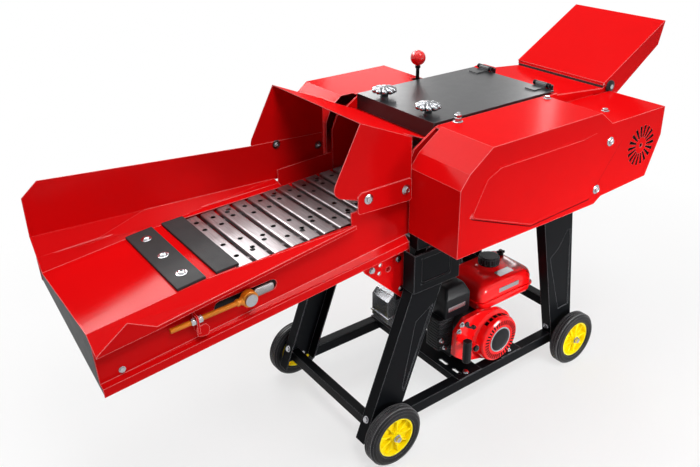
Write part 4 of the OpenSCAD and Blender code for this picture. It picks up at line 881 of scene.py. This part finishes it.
def seen_rays(nt):
    """1 for camera, glossy and transmission rays, 0 for the rays that light the object."""
    lp = nt.nodes.new("ShaderNodeLightPath")
    seen = lp.outputs["Is Camera Ray"]
    for name in ("Is Glossy Ray", "Is Transmission Ray"):
        either = nt.nodes.new("ShaderNodeMath")
        either.operation = "MAXIMUM"
        nt.links.new(seen, either.inputs[0])
        nt.links.new(lp.outputs[name], either.inputs[1])
        seen = either.outputs[0]
    return seen


def mix_shaders(nt, fac, a, b, out):
    mix = nt.nodes.new("ShaderNodeMixShader")
    nt.links.new(fac, mix.inputs[0])
    nt.links.new(a.outputs[0], mix.inputs[1])
    nt.links.new(b.outputs[0], mix.inputs[2])
    nt.links.new(mix.outputs[0], out.inputs[0])


def background():
    w = bpy.data.worlds.new("studio")
    scene.world = w
    w.use_nodes = True
    nt = w.node_tree
    nt.nodes.clear()
    out = nt.nodes.new("ShaderNodeOutputWorld")
    lit = nt.nodes.new("ShaderNodeBackground")
    seen = nt.nodes.new("ShaderNodeBackground")
    for b, strength in ((lit, WORLD_LIGHT), (seen, 1.0)):
        b.inputs[0].default_value = (1, 1, 1, 1)
        b.inputs[1].default_value = strength
    mix_shaders(nt, seen_rays(nt), lit, seen, out)


def floor():
    bm = bmesh.new()
    bmesh.ops.create_grid(bm, x_segments=1, y_segments=1, size=FLOOR_SIZE)
    o = plain_object("floor", bm)
    m, nt, b = new_mat("floor")
    tone = ramp(nt, noise(nt, 3.0, 2.0), [(0.3, (0.84, 0.84, 0.84)), (0.7, (0.86, 0.86, 0.86))])
    nt.links.new(tone, b.inputs["Base Color"])
    b.inputs["Roughness"].default_value = 0.9
    b.inputs["Specular IOR Level"].default_value = 0.1
    out = b.outputs[0].links[0].to_node
    tc = nt.nodes.new("ShaderNodeTexCoord")
    far = nt.nodes.new("ShaderNodeVectorMath")
    far.operation = "LENGTH"
    nt.links.new(tc.outputs["Object"], far.inputs[0])
    white = nt.nodes.new("ShaderNodeMath")
    white.operation = "MULTIPLY"
    nt.links.new(span(nt, far.outputs["Value"], FLOOR_LIFT, 1.0, LIFT_FROM, LIFT_TO), white.inputs[0])
    nt.links.new(seen_rays(nt), white.inputs[1])
    glow = nt.nodes.new("ShaderNodeEmission")
    mix_shaders(nt, white.outputs[0], b, glow, out)
    o.data.materials.append(m)


# Lamps: name, place, aim, size, watts and spread; the gleams show in gloss alone, the key in no gloss
LAMPS = (
    ("key", (-1.0, -2.2, 4.5), (-0.1, 0, 0.7), (1.5, 1.5), 103, 180),
    ("top", (-0.1, 0.6, 4.4), (0.0, 0, 0.8), (3.0, 2.2), 88, 180),
    ("front", (1.4, -3.3, 0.8), (0.12, -0.1, 0.28), (1.2, 0.7), 5.4, 34),
    ("side", (3.4, -2.4, 2.4), (0.2, 0, 0.7), (1.4, 2.0), 8, 180),
    ("back", (0.5, 3.2, 2.7), (-0.6, 0, 0.8), (1.8, 1.0), 36, 180),
    ("streak", (3.9, 2.7, 2.4), (0.2, -0.2, 1.0), (0.14, 1.6), 9, 180),
    ("gleam_tray", (-0.6, 3.3, 2.9), (-1.05, 0, 0.78), (1.2, 0.9), 90, 180),
    ("gleam_cover", (2.2, 3.3, 2.1), (-0.1, 0.3, 1.0), (0.7, 0.7), 11, 180),
    ("gleam_key", (0.7, -2.2, 4.5), (0.1, 0, 0.7), (1.5, 1.5), 100, 180),
    ("gleam_chamfer", (-1.65, 2.4, 3.5), (-0.29, -0.3, 0.98), (2.6, 2.0), 130, 180),
)


def lamp(name, loc, aim, size, watts, spread):
    d = bpy.data.lights.new(name, "AREA")
    d.shape = "RECTANGLE"
    d.size, d.size_y = size
    d.energy = watts
    d.spread = math.radians(spread)
    o = bpy.data.objects.new(name, d)
    scene.collection.objects.link(o)
    o.location = loc
    o.rotation_euler = (Vector(aim) - Vector(loc)).to_track_quat("-Z", "Y").to_euler()
    o.visible_glossy = name != "key"
    o.visible_diffuse = not name.startswith("gleam_")


dress_solids()
guard_details()
stand_beads()
tank()
cleaner()
linkage()
starter()
chute_details()
fasteners()
slat_run()
takeup()
buttons()
knob("hand_knob_right", -KNOB_Y)
knob("hand_knob_left", KNOB_Y)
camera()
background()
floor()
for row in LAMPS:
    lamp(*row)
scene.view_settings.view_transform = "Standard"
